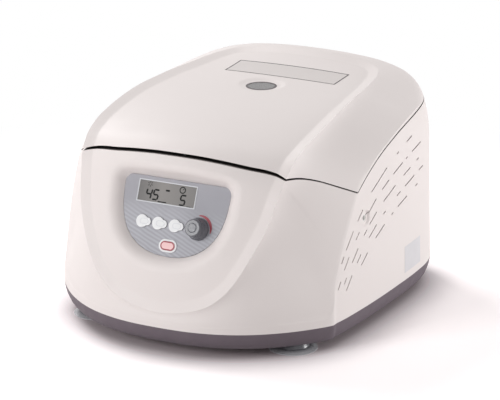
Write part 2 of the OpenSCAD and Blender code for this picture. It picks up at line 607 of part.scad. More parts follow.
module control_board() color([0.1, 0.4, 0.2]) on_panel() {
    difference() {
        translate([-61.5, -78, board_z - 1.6]) cube([123, 76, 1.6]);
        for (m = [-1, 1]) translate([m * 62, -80, board_z - 3]) rotate(m * 27) cube([26, 60, 10], center = true);
        for (m = [-1, 1], p = board_post) translate([m * p[0], p[1], board_z - 5]) cylinder(r = 1.2, h = 10);
    }
    for (x = key_x) translate([x - 3, -key_s - 3, board_z]) cube([6, 6, tact_h]);
    translate([-3, -start_s - 3, board_z]) cube([6, 6, tact_h]);
}
module soft_key(x) color([0.93, 0.93, 0.92]) on_panel() translate([x, -key_s, 0]) {
    translate([0, 0, -panel_t - 1.4]) linear_extrude(panel_t + 1.4 + key_rise) key_shape();
    translate([0, 0, -panel_t - 1.4]) linear_extrude(1.2) key_shape(0.7);
    translate([0, 0, tact_top() + key_travel + 0.1]) cylinder(r = 2, h = -tact_top() - key_travel - 0.1 - panel_t);
}
module speed_key() soft_key(key_x[0]);
module time_key() soft_key(key_x[1]);
module pulse_key() soft_key(key_x[2]);
module start_ring() color([0.93, 0.93, 0.92]) on_panel() translate([0, -start_s, 0]) linear_extrude(ring_t) difference() {
    stadium(start_w + 4, start_h + 4);
    stadium(start_w + 2 * key_gap, start_h + 2 * key_gap);
}
module start_button() color([0.95, 0.75, 0.75]) on_panel() translate([0, -start_s, 0]) {
    translate([0, 0, -panel_t - 1.4]) linear_extrude(panel_t + 1.4 + 1.6) stadium(start_w, start_h);
    translate([0, 0, -panel_t - 1.4]) linear_extrude(1.2) stadium(start_w + 2, start_h + 2);
    translate([0, 0, tact_top() + key_travel + 0.1]) cylinder(r = 2, h = -tact_top() - key_travel - 0.1 - panel_t);
}
spindle_r = 3;
knob_h = 14;
module encoder() color(steel) on_panel() translate([knob_x, -knob_s, 0]) difference() {
    union() {
        translate([-6.5, -6.5, board_z]) cube([13, 13, 6.5]);
        translate([0, 0, board_z + 6.5]) cylinder(r = 4.8, h = -board_z - 6.5 + 0.6);
    }
    translate([0, 0, board_z + 1]) cylinder(r = spindle_r + fit, h = 40);
}
module knob_spindle() color(steel) on_panel() translate([knob_x, -knob_s, board_z + 1.2]) cylinder(r = spindle_r, h = 9.5 - board_z - 1.2);
module control_knob() color([0.6, 0.61, 0.63]) on_panel() translate([knob_x, -knob_s, 0.5]) difference() {
    rotate_extrude() polygon([[0, 0.3], [knob_r, 0.3], [knob_r, 2], [knob_r - 1.4, 5], [knob_r - 2.8, knob_h - 1], [knob_r - 3.8, knob_h], [0, knob_h]]);
    translate([0, 0, -1]) cylinder(r = 5.6, h = 3);
    cylinder(r = spindle_r, h = 9);
    translate([0, 0, knob_h - 1]) cylinder(r = 5, h = 3);
}
module knob_cap() color([0.7, 0.71, 0.73]) on_panel() translate([knob_x, -knob_s, knob_h - 0.5]) {
    cylinder(r = 5, h = 1);
    translate([0, 0, 1]) cylinder(r1 = 5, r2 = 4, h = 0.6);
}

// Lid lock behind the front
bolt_z = to_z(182);
bolt_r = 2.95;
bolt_travel = 8;
latch_top = seam_front(20) - seam_gap / 2 - wall - 0.05;
module latch_housing() color(black) difference() {
    block(-12, 18, latch_y - 9, latch_y + 9, bolt_z - 10, latch_top);
    block(-hook_t / 2 - 1.5, hook_t / 2 + 1, latch_y - hook_w / 2 - 3, latch_y + hook_w / 2 + 1, bolt_z - 7, latch_top + 5);
    translate([-20, latch_y, bolt_z]) rotate([0, 90, 0]) cylinder(r = bolt_r + fit, h = 60);
}
module latch_solenoid() color(steel) difference() {
    block(18, 46, latch_y - 8, latch_y + 8, bolt_z - 8, bolt_z + 7.7);
    translate([17, latch_y, bolt_z]) rotate([0, 90, 0]) cylinder(r = bolt_r + fit, h = 24);
}
module latch_bolt() color(steel) translate([hook_t / 2 + 2, latch_y, bolt_z]) rotate([0, 90, 0]) cylinder(r = bolt_r, h = 26);
hook_top = seam_front(0) + seam_gap / 2;
module latch_hook() color(steel) difference() {
    union() {
        block(-9, 9, latch_y - 3, latch_y + 7, hook_top, hook_top + 2);
        block(-hook_t / 2, hook_t / 2, latch_y - hook_w / 2, latch_y + hook_w / 2, bolt_z - 5.5, hook_top - 0.6);
        block(-hook_t / 2, hook_t / 2, latch_y - 3, latch_y + hook_w / 2, hook_top - 1, hook_top + 1);
    }
    translate([-20, latch_y, bolt_z]) rotate([0, 90, 0]) cylinder(r = bolt_r + 0.6, h = 40);
}

// Lid
boss_r = 6;
boss_a = [30 : 60 : 330];
boss_pr = 112;
window_floor = dish_at(350, 0)[2] - 1.6;
window_t = 3;
leaf_z = hinge_z + 8;
leaf_t = 3;
leaf_y0 = hinge_y - 34;
module liner_bosses(z1) at_rotor() for (a = boss_a) rotate(a) translate([boss_pr, 0, liner_z + liner_t])
    cylinder(r = boss_r, h = z1 - liner_z - liner_t, $fn = 24);
module lid_shell() color(white) difference() {
    union() {
        lid_skin();
        liner_bosses(hinge_z + 6);
    }
    below_window();
    both() translate([notch_x, hinge_y - 9, hinge_z - 20]) cube([notch_w, 30, leaf_z + leaf_t - hinge_z + 20.05]);
}
module lid_skin() difference() {
    union() {
        difference() {
            form();
            inner_form(wall);
        }
        intersection() {
            form();
            union() {
                liner_bosses(230);
                translate([0, window_y, window_floor - 10]) cylinder(r = window_r + 4, h = 40, $fn = 48);
                for (a = boss_a) at_rotor() rotate(a) translate([0, 0, to_z(214)]) hull() {
                    translate([window_r + 10, 0, 0]) cylinder(r = 1.2, h = 30, $fn = 6);
                    translate([boss_pr - 4, 0, -12]) cylinder(r = 1.2, h = 30, $fn = 6);
                }
                both() for (y = [leaf_y0 + 6, leaf_y0 + 22]) hull() for (x = [-5, 5])
                    translate([hinge_x + x, y, leaf_z + leaf_t]) cylinder(r = 5, h = 30, $fn = 16);
                hull() for (x = [-5, 5]) translate([x, latch_y + 2, hook_top + 2]) cylinder(r = 5, h = 30, $fn = 16);
            }
        }
    }
    below_seam(seam_gap / 2);
    at_rotor() translate([0, 0, -1]) cylinder(r = liner_r + 0.5, h = liner_z + liner_t + 1);
}
module below_window() {
    translate([0, window_y, window_floor]) cylinder(r1 = window_r + 3, r2 = window_dish_r + 8, h = 5.5, $fn = 48);
    translate([0, window_y, window_floor - window_t]) cylinder(r = window_r + 0.1, h = 40, $fn = 48);
    translate([0, window_y, 150]) cylinder(r = window_r - 2.5, h = 100, $fn = 48);
}
module lid_window() color([0.2, 0.2, 0.22, 0.7]) translate([0, window_y, window_floor - window_t]) cylinder(r = window_r, h = window_t);
module window_tube() color(black) translate([0, window_y, 0]) ring(window_r - 0.5, window_r - 2.5, liner_z + liner_t, window_floor - 10);
module lid_liner() color([0.8, 0.8, 0.79]) difference() {
    at_rotor() union() {
        translate([0, 0, liner_z]) cylinder(r = liner_r, h = liner_t);
        ring(liner_r - 8, liner_r - 10, liner_z - 3, liner_z + 1);
    }
    translate([0, window_y, 0]) cylinder(r = window_r - 2.5, h = 400);
    at_rotor() for (a = boss_a) rotate(a) translate([boss_pr, 0, 0]) cylinder(r = 2.2, h = 400);
}
module lid_seal() color(black) at_rotor() ring(liner_r - 0.5, liner_r - 5, rim_z + 0.3, liner_z);
module liner_screws() color(steel) at_rotor() for (a = boss_a) rotate(a) translate([boss_pr, 0, liner_z - 2]) {
    cylinder(r = 4, h = 2);
    cylinder(r = 2.1, h = 2 + liner_t);
}
module hinge_leaves() color(steel) both() difference() {
    union() {
        translate([hinge_x - knuckle_w / 2, hinge_y, hinge_z]) rotate([0, 90, 0]) cylinder(r = knuckle_r, h = knuckle_w);
        translate([hinge_x - knuckle_w / 2, hinge_y - knuckle_r, hinge_z]) cube([knuckle_w, 3, leaf_z + leaf_t - hinge_z]);
        translate([hinge_x - knuckle_w / 2, leaf_y0, leaf_z]) cube([knuckle_w, hinge_y - knuckle_r + 3 - leaf_y0, leaf_t]);
    }
    translate([0, hinge_y, hinge_z]) rotate([0, 90, 0]) cylinder(r = hinge_pin_r + fit, h = 200);
    for (y = [leaf_y0 + 6, leaf_y0 + 22]) translate([hinge_x, y, 0]) cylinder(r = 2.1, h = 400);
}

// Rear services
panel_back = 182.9 * sy;
service_t = 1.5;
inlet_x = 30;
inlet_z = skirt_z + 25;
switch_x = 56.5;
fan_x = -45;
fan_z = skirt_z + 25.5;
module rear_panel() color(steel) difference() {
    block(-rear_x, rear_x, panel_back - service_t, panel_back, skirt_z + 0.5, rear_z1 + 3);
    block(inlet_x - 14, inlet_x + 14, 150, 200, inlet_z - 16, inlet_z + 16);
    block(switch_x - 7, switch_x + 7, 150, 200, inlet_z - 10.5, inlet_z + 10.5);
    for (i = [-3 : 3]) block(fan_x - sqrt(pow(fan_s / 2 - 2, 2) - pow(i * 5, 2)), fan_x + sqrt(pow(fan_s / 2 - 2, 2) - pow(i * 5, 2)),
        150, 200, fan_z + i * 5 - 1.6, fan_z + i * 5 + 1.6);
}
module power_inlet() color(black) difference() {
    union() {
        block(inlet_x - 16.5, inlet_x + 16.5, panel_back, panel_back + 2.5, inlet_z - 18.5, inlet_z + 18.5);
        block(inlet_x - 14, inlet_x + 14, panel_back - 20, panel_back, inlet_z - 16, inlet_z + 16);
    }
    block(inlet_x - 12, inlet_x + 12, panel_back - 14, panel_back + 5, inlet_z - 3, inlet_z + 13);
    block(inlet_x - 11, inlet_x + 11, panel_back - 16, panel_back + 5, inlet_z - 14, inlet_z - 5.5);
}
module inlet_blades() color(steel) for (q = [[-7, 6], [0, 9], [7, 6]]) block(inlet_x + q[0] - 1, inlet_x + q[0] + 1, panel_back - 14, panel_back - 3,
    inlet_z + q[1] - 2 - 1, inlet_z + q[1] - 2 + 3);
module fuse_drawer() color(black) difference() {
    union() {
        block(inlet_x - 10.9, inlet_x + 10.9, panel_back - 15.5, panel_back + 3.3, inlet_z - 13.9, inlet_z - 5.6);
    }
    block(inlet_x - 8.5, inlet_x + 8.5, panel_back - 13, panel_back - 2, inlet_z - 12, inlet_z);
    block(inlet_x - 4, inlet_x + 4, panel_back + 1.2, panel_back + 2.2, inlet_z - 20, inlet_z - 11);
}
rocker_pin_r = 1.5;
module switch_frame() color(black) difference() {
    union() {
        block(switch_x - 9, switch_x + 9, panel_back, panel_back + 2, inlet_z - 13, inlet_z + 13);
        block(switch_x - 6.9, switch_x + 6.9, panel_back - 16, panel_back, inlet_z - 10.4, inlet_z + 10.4);
    }
    block(switch_x - 5.5, switch_x + 5.5, panel_back - 12, panel_back + 5, inlet_z - 9.2, inlet_z + 9.2);
    translate([switch_x - 6.5, rocker_y, inlet_z]) rotate([0, 90, 0]) cylinder(r = rocker_pin_r + fit, h = 13);
}
rocker_y = panel_back - 5;
rocker_tilt = 10;
module power_rocker() color(black) translate([switch_x, rocker_y, inlet_z]) rotate([rocker_tilt, 0, 0]) rotate([90, 0, 90]) {
    translate([0, 0, -5.3]) linear_extrude(10.6) union() {
        circle(r = 3);
        polygon([[-1.5, -5], [4, -8.2], [6.2, -8], [4.6, 0], [6.2, 8], [4, 8.2], [-1.5, 5]]);
    }
    translate([0, 0, -6.4]) cylinder(r = rocker_pin_r, h = 12.8);
}
module fan_frame() color(black) difference() {
    block(fan_x - fan_s / 2, fan_x + fan_s / 2, panel_back - service_t - fan_t, panel_back - service_t, fan_z - fan_s / 2, fan_z + fan_s / 2);
    difference() {
        translate([fan_x, panel_back, fan_z]) rotate([90, 0, 0]) cylinder(r = fan_s / 2 - 1.5, h = 60, center = true);
        translate([fan_x, panel_back - service_t - fan_t + 2, fan_z]) rotate([90, 0, 0]) cylinder(r = 8, h = 4, center = true);
        for (a = [45 : 90 : 315]) translate([fan_x, panel_back - service_t - fan_t + 1, fan_z]) rotate([0, a, 0])
            translate([0, 0, fan_s / 4]) cube([2, 2, fan_s / 2], center = true);
    }
}
module fan_rotor() color(black) translate([fan_x, panel_back - service_t - fan_t + 5, fan_z]) rotate([-90, 0, 0]) {
    cylinder(r = 8, h = fan_t - 7);
    for (a = [0 : 360 / 7 : 359]) rotate(a) translate([0, 0, (fan_t - 7) / 2]) rotate([38, 0, 0]) translate([6, -1, -fan_t / 3.4])
        cube([fan_s / 2 - 9.5, 1.4, fan_t / 1.7]);
}
module power_board() color([0.1, 0.4, 0.2]) {
    block(-128, -72, rotor_y - 38, rotor_y + 38, deck_z + 8, deck_z + 9.6);
    for (x = [-124, -76], y = [-34, 34]) translate([x, rotor_y + y, deck_z]) cylinder(r = 3, h = 8);
    block(-120, -98, rotor_y - 30, rotor_y - 4, deck_z + 9.6, deck_z + 34);
    block(-94, -78, rotor_y + 4, rotor_y + 30, deck_z + 9.6, deck_z + 24);
    for (y = [8, 24]) translate([-112, rotor_y + y, deck_z + 9.6]) cylinder(r = 7, h = 26);
}

base_pan();
chassis_plate();
foot_front_left();
foot_front_right();
foot_rear_left();
foot_rear_right();
foot_screws();
housing();
release_bush();
hinge_post_left();
hinge_post_right();
hinge_pins();
rotor_bowl();
bowl_gasket();
bowl_standoffs();
guard_ring();
motor_dampers();
motor_mount_plate();
motor_stator();
motor_bearings();
motor_shaft();
shaft_boot();
rotor_yoke();
trunnion_pins();
rotor_nut();
bucket_left();
bucket_right();
control_panel();
display_window();
display_module();
control_board();
speed_key();
time_key();
pulse_key();
start_ring();
start_button();
encoder();
knob_spindle();
control_knob();
knob_cap();
latch_housing();
latch_bolt();
latch_solenoid();
lid_shell();
lid_liner();
lid_seal();
lid_window();
window_tube();
latch_hook();
hinge_leaves();
liner_screws();
rear_panel();
power_inlet();
inlet_blades();
fuse_drawer();
switch_frame();
power_rocker();
fan_frame();
fan_rotor();
power_board();
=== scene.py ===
"""Looks of a benchtop plate spinner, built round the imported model."""
import json
import math

import bmesh
import bpy
import numpy as np
from mathutils import Matrix, Vector
from mathutils.bvhtree import BVHTree


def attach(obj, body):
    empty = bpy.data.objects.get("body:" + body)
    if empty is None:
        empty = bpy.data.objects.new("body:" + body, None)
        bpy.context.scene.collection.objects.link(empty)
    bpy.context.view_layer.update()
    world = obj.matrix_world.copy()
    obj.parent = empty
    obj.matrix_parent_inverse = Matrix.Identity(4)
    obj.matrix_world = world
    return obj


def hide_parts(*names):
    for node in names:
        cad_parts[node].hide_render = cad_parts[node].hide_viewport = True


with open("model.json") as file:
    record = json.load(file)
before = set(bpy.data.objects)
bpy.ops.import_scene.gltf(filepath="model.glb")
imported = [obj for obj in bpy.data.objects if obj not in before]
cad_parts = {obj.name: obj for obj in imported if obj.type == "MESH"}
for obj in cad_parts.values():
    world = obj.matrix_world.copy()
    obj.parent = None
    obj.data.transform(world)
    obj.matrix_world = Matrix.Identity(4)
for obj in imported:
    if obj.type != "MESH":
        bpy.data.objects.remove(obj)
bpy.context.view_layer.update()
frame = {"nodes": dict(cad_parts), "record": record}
nodes = frame["nodes"]
MM = 0.001  # metres in a millimetre

# Camera as fitted to the photo
scene = bpy.context.scene
AZ, EL, ROLL = math.radians(26.994), math.radians(17.914), math.radians(-0.029)
back = Vector((math.sin(AZ) * math.cos(EL), -math.cos(AZ) * math.cos(EL), math.sin(EL)))
side = Vector((math.cos(AZ), math.sin(AZ), 0))
over = back.cross(side)
right = side * math.cos(ROLL) + over * math.sin(ROLL)
up = back.cross(right)
cam_data = bpy.data.cameras.new("camera")
cam = bpy.data.objects.new("camera", cam_data)
scene.collection.objects.link(cam)
turned = Matrix((right, up, back)).transposed().to_4x4()
cam.matrix_world = Matrix.Translation((1.30196, -2.53624, 1.03066)) @ turned
cam_data.lens = 205.0
cam_data.sensor_width = 36.0
cam_data.clip_start = 0.1
cam_data.clip_end = 50
scene.camera = cam

# The moulded form, in millimetres. DISH is the middle line over front and top as (y, z), with a point for
# every 30 mm of its path. BOW is how far the dish has dropped 100 mm to the side of each of those points.
DISH_STEP = 30
DISH = np.array([
    [-183.5, 42], [-182, 72], [-177.5, 101.5], [-169, 130.5], [-159, 158.5], [-147.5, 186.5], [-126, 205.5],
    [-97, 212], [-67, 216.5], [-37.5, 219.5], [-7.5, 222], [22.5, 223], [52.5, 224], [82.5, 224.2],
    [112.5, 226], [142.5, 229.5], [172, 233]])
BOW = np.array([15, 15.5, 15.5, 15, 15, 15, 11.5, 6, 4, 2.5, 1.7, 1.4, 1.4, 1.6, 2.7, 6, 9])
# Stations from the middle of the front round the right side to the middle of the rear: foot (x, y),
# shoulder (x, y, z), rim as (path over the dish, x), and the lean of the flank at the rim in degrees
STATIONS = [
    [[0, -188.5], [0, -188.2, 35], [2.5, 0], 70],
    [[32, -187], [32, -186.7, 35], [6, 28], 66],
    [[60, -181], [60, -180.7, 36], [15, 54], 58],
    [[86, -170.5], [86, -170.2, 37], [32, 73.5], 46],
    [[110, -155], [110, -154.7, 38], [54, 87], 36],
    [[133, -134], [132.6, -133.6, 39], [79, 97.7], 31],
    [[154.5, -107], [154, -106.5, 41], [104, 106.3], 29],
    [[157, -95], [155.8, -97, 75], [133, 112], 28],
    [[159.5, -77], [158, -84.5, 108], [160, 115.8], 27],
    [[161.5, -53], [160.5, -67, 142], [190, 117.8], 26],
    [[163, -30], [161, -52, 162.5], [218, 119.2], 26],
    [[164.3, 0], [161, -19, 179.5], [255, 119], 26],
    [[165, 35], [160.3, 20, 191], [295, 116.8], 28],
    [[165, 80], [156.5, 68, 199], [350, 111.3], 36],
    [[162, 120], [151.5, 112, 202.5], [410, 102.8], 52],
    [[152.5, 149.5], [145, 141, 203], [440, 96], 70],
    [[136, 172.5], [131, 165, 203.5], [457, 86], 80],
    [[110, 185.5], [107.5, 179, 204.3], [466, 69], 84],
    [[70, 188.5], [69, 184, 205], [469, 45], 85],
    [[0, 188.5], [0, 184.7, 205], [470, 0], 85]]
HALF = len(STATIONS) - 1
TURN = 2 * HALF
SKIRT = 29.0  # height of the housing's lower edge
SHOULDER_LOW = 34.5  # lowest height of the shoulder
LIP = 3.5  # how far the rim stands over the dish
RIM_W = 12.0  # width of the rim's band
POLE = np.array([350.0, 0.0])  # where the rings of the dish close, as (path, x)
DISH_END = len(DISH) - 1


def loop_line(pick, mirrored=0):
    """One column of the stations all the way round, with the left side as the mirror of the right."""
    rows = []
    for i in range(TURN):
        values = np.atleast_1d(STATIONS[i if i <= HALF else TURN - i][pick]).astype(float)
        if i > HALF and pick < 3:
            values[mirrored] = -values[mirrored]
        rows.append(values)
    return np.array(rows)


FEET = loop_line(0)
SHOULDER = loop_line(1)
RIM = loop_line(2, 1)
LEAN = loop_line(3)


def blend4(a, b, c, d, f):
    """A smooth curve through four points, f from 0 at b to 1 at c."""
    return 0.5 * (2 * b + (c - a) * f + (2 * a - 5 * b + 4 * c - d) * f * f
                  + (3 * b - a - 3 * c + d) * f ** 3)


def cubic(a, b, c, d, f):
    """A curve from a to d that leaves towards b and arrives from c."""
    h = 1 - f
    return h ** 3 * a + 3 * h * h * f * b + 3 * h * f * f * c + f ** 3 * d


def loop_curve(p, t):
    """The closed curve through the rows of p, at t steps from the first."""
    t = np.mod(np.asarray(t, float), len(p))
    i = np.floor(t).astype(int) % len(p)
    n = len(p)
    f = (t - np.floor(t))[..., None]
    return blend4(p[(i - 1) % n], p[i], p[(i + 1) % n], p[(i + 2) % n], f)


def open_curve(p, t):
    """The open curve through the rows of p, at t steps from the first."""
    p = p[:, None] if p.ndim == 1 else p
    n = len(p) - 1
    t = np.asarray(t, float)
    i = np.clip(np.floor(t), 0, n - 1).astype(int)
    f = (t - i)[..., None]
    ext = np.vstack([2 * p[0] - p[1], p, 2 * p[n] - p[n - 1]])
    return blend4(ext[i], ext[i + 1], ext[i + 2], ext[i + 3], f)


def unit(v):
    return v / np.linalg.norm(v, axis=-1, keepdims=True)


def clamp01(v):
    return np.clip(v, 0, 1)


def dish_at(path, x, lift=0.0):
    """A point of the dish at a length of path and a side x, lifted square to the middle line."""
    path, x = np.broadcast_arrays(np.asarray(path, float), np.asarray(x, float))
    s = np.clip(path / DISH_STEP, 0, DISH_END)
    p = open_curve(DISH, s)
    e = open_curve(DISH, np.minimum(DISH_END, s + 0.02)) - open_curve(DISH, np.maximum(0, s - 0.02))
    u = unit(e)
    drop = lift - open_curve(BOW, s)[..., 0] * (x / 100) ** 2
    return np.stack([x, p[..., 0] - u[..., 1] * drop, p[..., 1] + u[..., 0] * drop], -1)


def dish_normal(path, x):
    along = dish_at(path + 1, x) - dish_at(path - 1, x)
    across = dish_at(path, x + 1) - dish_at(path, x - 1)
    return unit(np.cross(across, along))


def rim_inset(t, w):
    """The rim's line moved inward by w, as (path, x)."""
    e = loop_curve(RIM, t + 0.05) - loop_curve(RIM, t - 0.05)
    inward = unit(np.stack([e[..., 1], -e[..., 0]], -1))
    return loop_curve(RIM, t) + inward * w


def foot_at(t):
    p = loop_curve(FEET, t)
    return np.concatenate([p, np.full(p.shape[:-1] + (1,), SKIRT)], -1)


def shoulder_at(t):
    p = loop_curve(SHOULDER, t).copy()
    p[..., 2] = np.maximum(p[..., 2], SHOULDER_LOW)
    return p


def flank_at(t, f):
    """A point of the flank, from the shoulder at f = 0 to the crest of the rim at f = 1."""
    low = shoulder_at(t)
    rim = loop_curve(RIM, t)
    crest = dish_at(rim[..., 0], rim[..., 1], LIP)
    length = np.linalg.norm(crest - low, axis=-1)[..., None]
    station = np.where(t <= HALF, t, TURN - t)
    # the side's flank is straight low down, the front's and the rear's start upright
    side_share = np.minimum(clamp01((station - 5) / 2.5), clamp01((16.5 - station) / 3))[..., None]
    rise = (0.45 + 0.3 * clamp01((station - 13) / 3)) * (crest[..., 2] - low[..., 2])
    lift = np.stack([np.zeros_like(rise), np.zeros_like(rise), rise], -1)
    low_handle = low + side_share * (crest - low) * 0.33 + (1 - side_share) * lift
    lean = loop_curve(LEAN, t)[..., 0]
    angle = np.radians(lean)[..., None]
    within = rim_inset(t, 4)
    away = unit(dish_at(rim[..., 0], rim[..., 1]) - dish_at(within[..., 0], within[..., 1]))
    pull = length * (0.24 + 0.3 * clamp01((lean - 40) / 45))[..., None]
    down_and_out = away * np.sin(angle) - dish_normal(rim[..., 0], rim[..., 1]) * np.cos(angle)
    return cubic(low, low_handle, crest + pull * down_and_out, crest, f)


def wall_at(t, f):
    """A point of the wall from foot to shoulder, which leans in more over its last fifth."""
    foot = foot_at(t)
    top = shoulder_at(t)
    upright = np.concatenate([foot[..., :2] * 0.85 + top[..., :2] * 0.15, top[..., 2:]], -1)
    k = max(0.0, (f - 0.8) / 0.2)
    return foot + (upright - foot) * f + (top - upright) * (0.35 * f + 0.65 * k * k)


def form_rows(per_station, wall_rows, flank_rows, dish_rows):
    """The whole form as columns of points, from the foot up the wall and the flank to the dish."""
    t = np.arange(TURN * per_station) / per_station
    rows = [wall_at(t, f) for f in wall_rows]
    rows += [flank_at(t, f) for f in flank_rows]
    # the band of the lip falls from the rim into the dish with a rounded crest
    for f in (0.1, 0.25, 0.45, 0.65, 0.82, 0.93):
        e = rim_inset(t, RIM_W * f)
        rows.append(dish_at(e[..., 0], e[..., 1], LIP * (1 - f) ** 1.25 * (1 + 0.25 * f)))
    e = rim_inset(t, RIM_W)
    for f in dish_rows:
        q = e + (POLE - e) * f
        rows.append(dish_at(q[..., 0], q[..., 1]))
    return np.stack(rows, 1)


# The two finishes that the cuts below tell apart: the plain shell, and the seam's faces with painted shade
shell_finish = bpy.data.materials.new("shell_plastic")
seam_shade_finish = bpy.data.materials.new("seam_painted_shade")


def mesh_of(name, verts, faces):
    me = bpy.data.meshes.new(name)
    me.from_pydata([tuple(v) for v in np.asarray(verts, float) * MM], [], [tuple(f) for f in faces])
    me.validate()
    me.update()
    me.materials.append(shell_finish)
    o = bpy.data.objects.new(name, me)
    scene.collection.objects.link(o)
    return o


def closed_grid(name, grid, low=None, high=None):
    """Columns of points round a loop as one closed mesh, capped at each end by a point or a face."""
    cols, n = grid.shape[:2]
    verts = list(grid.reshape(-1, 3))
    faces = []
    for i in range(cols):
        j = (i + 1) % cols
        for k in range(n - 1):
            faces.append((i * n + k, j * n + k, j * n + k + 1, i * n + k + 1))
    for row, point in ((0, low), (n - 1, high)):
        if point is None:
            ring = [i * n + row for i in range(cols)]
            faces.append(ring if row else ring[::-1])
            continue
        verts.append(np.asarray(point, float))
        c = len(verts) - 1
        for i in range(cols):
            j = (i + 1) % cols
            faces.append((c, j * n + row, i * n + row) if row == 0 else (c, i * n + row, j * n + row))
    return outward(mesh_of(name, verts, faces))


def tube_grid(name, grid):
    """Closed columns of points round a loop, as a tube that joins up with itself."""
    cols, n = grid.shape[:2]
    faces = []
    for i in range(cols):
        j = (i + 1) % cols
        for k in range(n):
            m = (k + 1) % n
            faces.append((i * n + k, j * n + k, j * n + m, i * n + m))
    return outward(mesh_of(name, grid.reshape(-1, 3), faces))


def outward(o):
    """Turn all faces of a closed mesh outward."""
    bm = bmesh.new()
    bm.from_mesh(o.data)
    bmesh.ops.recalc_face_normals(bm, faces=bm.faces)
    bm.to_mesh(o.data)
    bm.free()
    return o


def prism(name, outline, axis, lo, hi):
    """Outline of 2-D points pushed along an axis from lo to hi."""
    rows = [[np.insert(np.array(point, float), axis, v) for v in (lo, hi)] for point in outline]
    return closed_grid(name, np.array(rows))


def box_piece(name, x0, x1, y0, y1, z0, z1):
    return prism(name, [(x0, y0), (x1, y0), (x1, y1), (x0, y1)], 2, z0, z1)


def turned_piece(name, profile, centre, segments=96, axis=2):
    """A profile of (radius, height) points turned round an axis through centre."""
    g = []
    for t in np.linspace(0, 2 * math.pi, segments, endpoint=False):
        col = []
        for r, h in profile:
            c, s = r * math.cos(t), r * math.sin(t)
            col.append((c, s, h) if axis == 2 else (h, c, s))
        g.append(col)
    g = np.array(g) + np.asarray(centre, float)
    if profile[0] == profile[-1]:
        return tube_grid(name, g[:, :-1])
    return closed_grid(name, g)


def cut(o, other, how="DIFFERENCE"):
    """Cut o by another piece, or join or trim it, and use the other piece up."""
    m = o.modifiers.new("cut", "BOOLEAN")
    m.operation = how
    m.object = other
    m.solver = "MANIFOLD"
    m.material_mode = "TRANSFER"
    bpy.context.view_layer.update()
    done = bpy.data.meshes.new_from_object(o.evaluated_get(bpy.context.evaluated_depsgraph_get()))
    o.modifiers.clear()
    old = o.data
    o.data = done
    bpy.data.meshes.remove(old)
    bpy.data.objects.remove(other)
    return o


def copy_of(o, name):
    c = bpy.data.objects.new(name, o.data.copy())
    scene.collection.objects.link(c)
    return c


def smooth(o, degrees=32):
    for p in o.data.polygons:
        p.use_smooth = True
    o.data.set_sharp_from_angle(angle=math.radians(degrees))


# Sizes shared with the solids. SIDE_SEAM is the lid line on the sides as (y, z), and FRONT_SEAM its height
# across the front for every 25 mm of x.
SIDE_SEAM = np.array([[-80, 142], [-40, 166.5], [0, 183.2], [40, 192.2], [80, 197.2], [120, 200.6],
                      [160, 203], [200, 205.5]])
FRONT_SEAM = np.array([196.5, 196, 194.2, 191.3, 187.9, 180.2, 164.2, 147])
FRONT_SEAM_END = 174.9
GAP = 3.2
WALL = 3.0
ROTOR_Y = 38.0
BOWL_R = 137.0
COLLAR_Z, RIM_Z, LINER_Z, LINER_T = 176.0, 185.0, 190.0, 3.0
COLLAR_R = BOWL_R - 1.5
WELL_R = BOWL_R + 8
LINER_R = BOWL_R + 3.5
HINGE_Y, HINGE_Z = 183.0, 200.5
NOTCH_X = 80 - 11 - 0.4 - 4 - 2
NOTCH_W = 22 + 2 * (0.4 + 4 + 2)
PANEL_Y, PANEL_Z, TILT = -136.5, 169.2, math.radians(22.2)
UPSLOPE = np.array([0, math.sin(TILT), math.cos(TILT)])
FACING = np.array([0, -math.cos(TILT), math.sin(TILT)])
WINDOW_Y = 46.0
FOOT_SPOTS = ((114, -108), (-114, -108), (112, 126), (-112, 126))
RELEASE_AXIS = (0, -40, 125)


def on_panel(x, s, h=0.0):
    """A point of the control panel: x to the right, s down the slope, h out of its face."""
    x, s, h = np.broadcast_arrays(np.asarray(x, float), np.asarray(s, float), np.asarray(h, float))
    p = np.array([0, PANEL_Y, PANEL_Z]) + np.array([1.0, 0, 0]) * x[..., None]
    return p - UPSLOPE * s[..., None] + FACING * h[..., None]


def seam_front(x):
    """Height of the lid line across the front."""
    return open_curve(FRONT_SEAM, np.abs(np.asarray(x, float)) / 25)[..., 0]


def gap_share(x):
    """The seam is widest at the middle of the front and narrow at the sides."""
    k = clamp01((np.abs(np.asarray(x, float)) - 88) / 50)
    return 1 - 0.62 * k * k * (3 - 2 * k)


def seam_solid(name, shift, lower=0.0):
    """What lies below the seam between lid and housing, as one solid."""
    front = [(x, float(seam_front(min(abs(x), FRONT_SEAM_END)) + shift * gap_share(x)) - lower)
             for x in np.linspace(-176, 176, 133)]
    front += [(200, -60), (-200, -60)]
    below = prism(name, front, 1, -400, 400)
    move = shift * float(gap_share(176)) - lower
    line = open_curve(SIDE_SEAM, np.linspace(0, 7, 71))
    edge = [(-260, 35)] + [(float(y), float(z) + move) for y, z in line]
    edge += [(260, 208 + move), (260, -50), (-260, -50)]
    cut(below, prism(name + "_side", edge, 0, -350, 350), "UNION")
    # the seam's faces take the material with painted shade
    below.data.materials.clear()
    below.data.materials.append(seam_shade_finish)
    return below


def panel_outline(grow, n=48):
    """The D of the panel, grown by a margin, as (x, s) points."""
    w, floor_shadow_ramp = 60.0 + grow, 78.0 + grow
    r = 9.0 + 0.6 * max(0.0, grow)
    v = np.sin(np.linspace(math.asin((r - grow + 0.5) / floor_shadow_ramp), math.pi / 2, n))
    xs = w * np.power(np.clip(1 - v ** 3, 0, 1), 1 / 2.2)
    # the top corners are rounded
    pts = [(w - r + r * math.cos(a), -grow + r - r * math.sin(a)) for a in np.linspace(math.pi / 2, 0, 11)]
    pts += [(float(x), float(floor_shadow_ramp * s)) for x, s in zip(xs, v)]
    left = [(-x, s) for x, s in pts[-2::-1]]
    top = [(float(x), -grow) for x in np.linspace(r - w, w - r, 26)[1:-1]]
    return pts + left + top


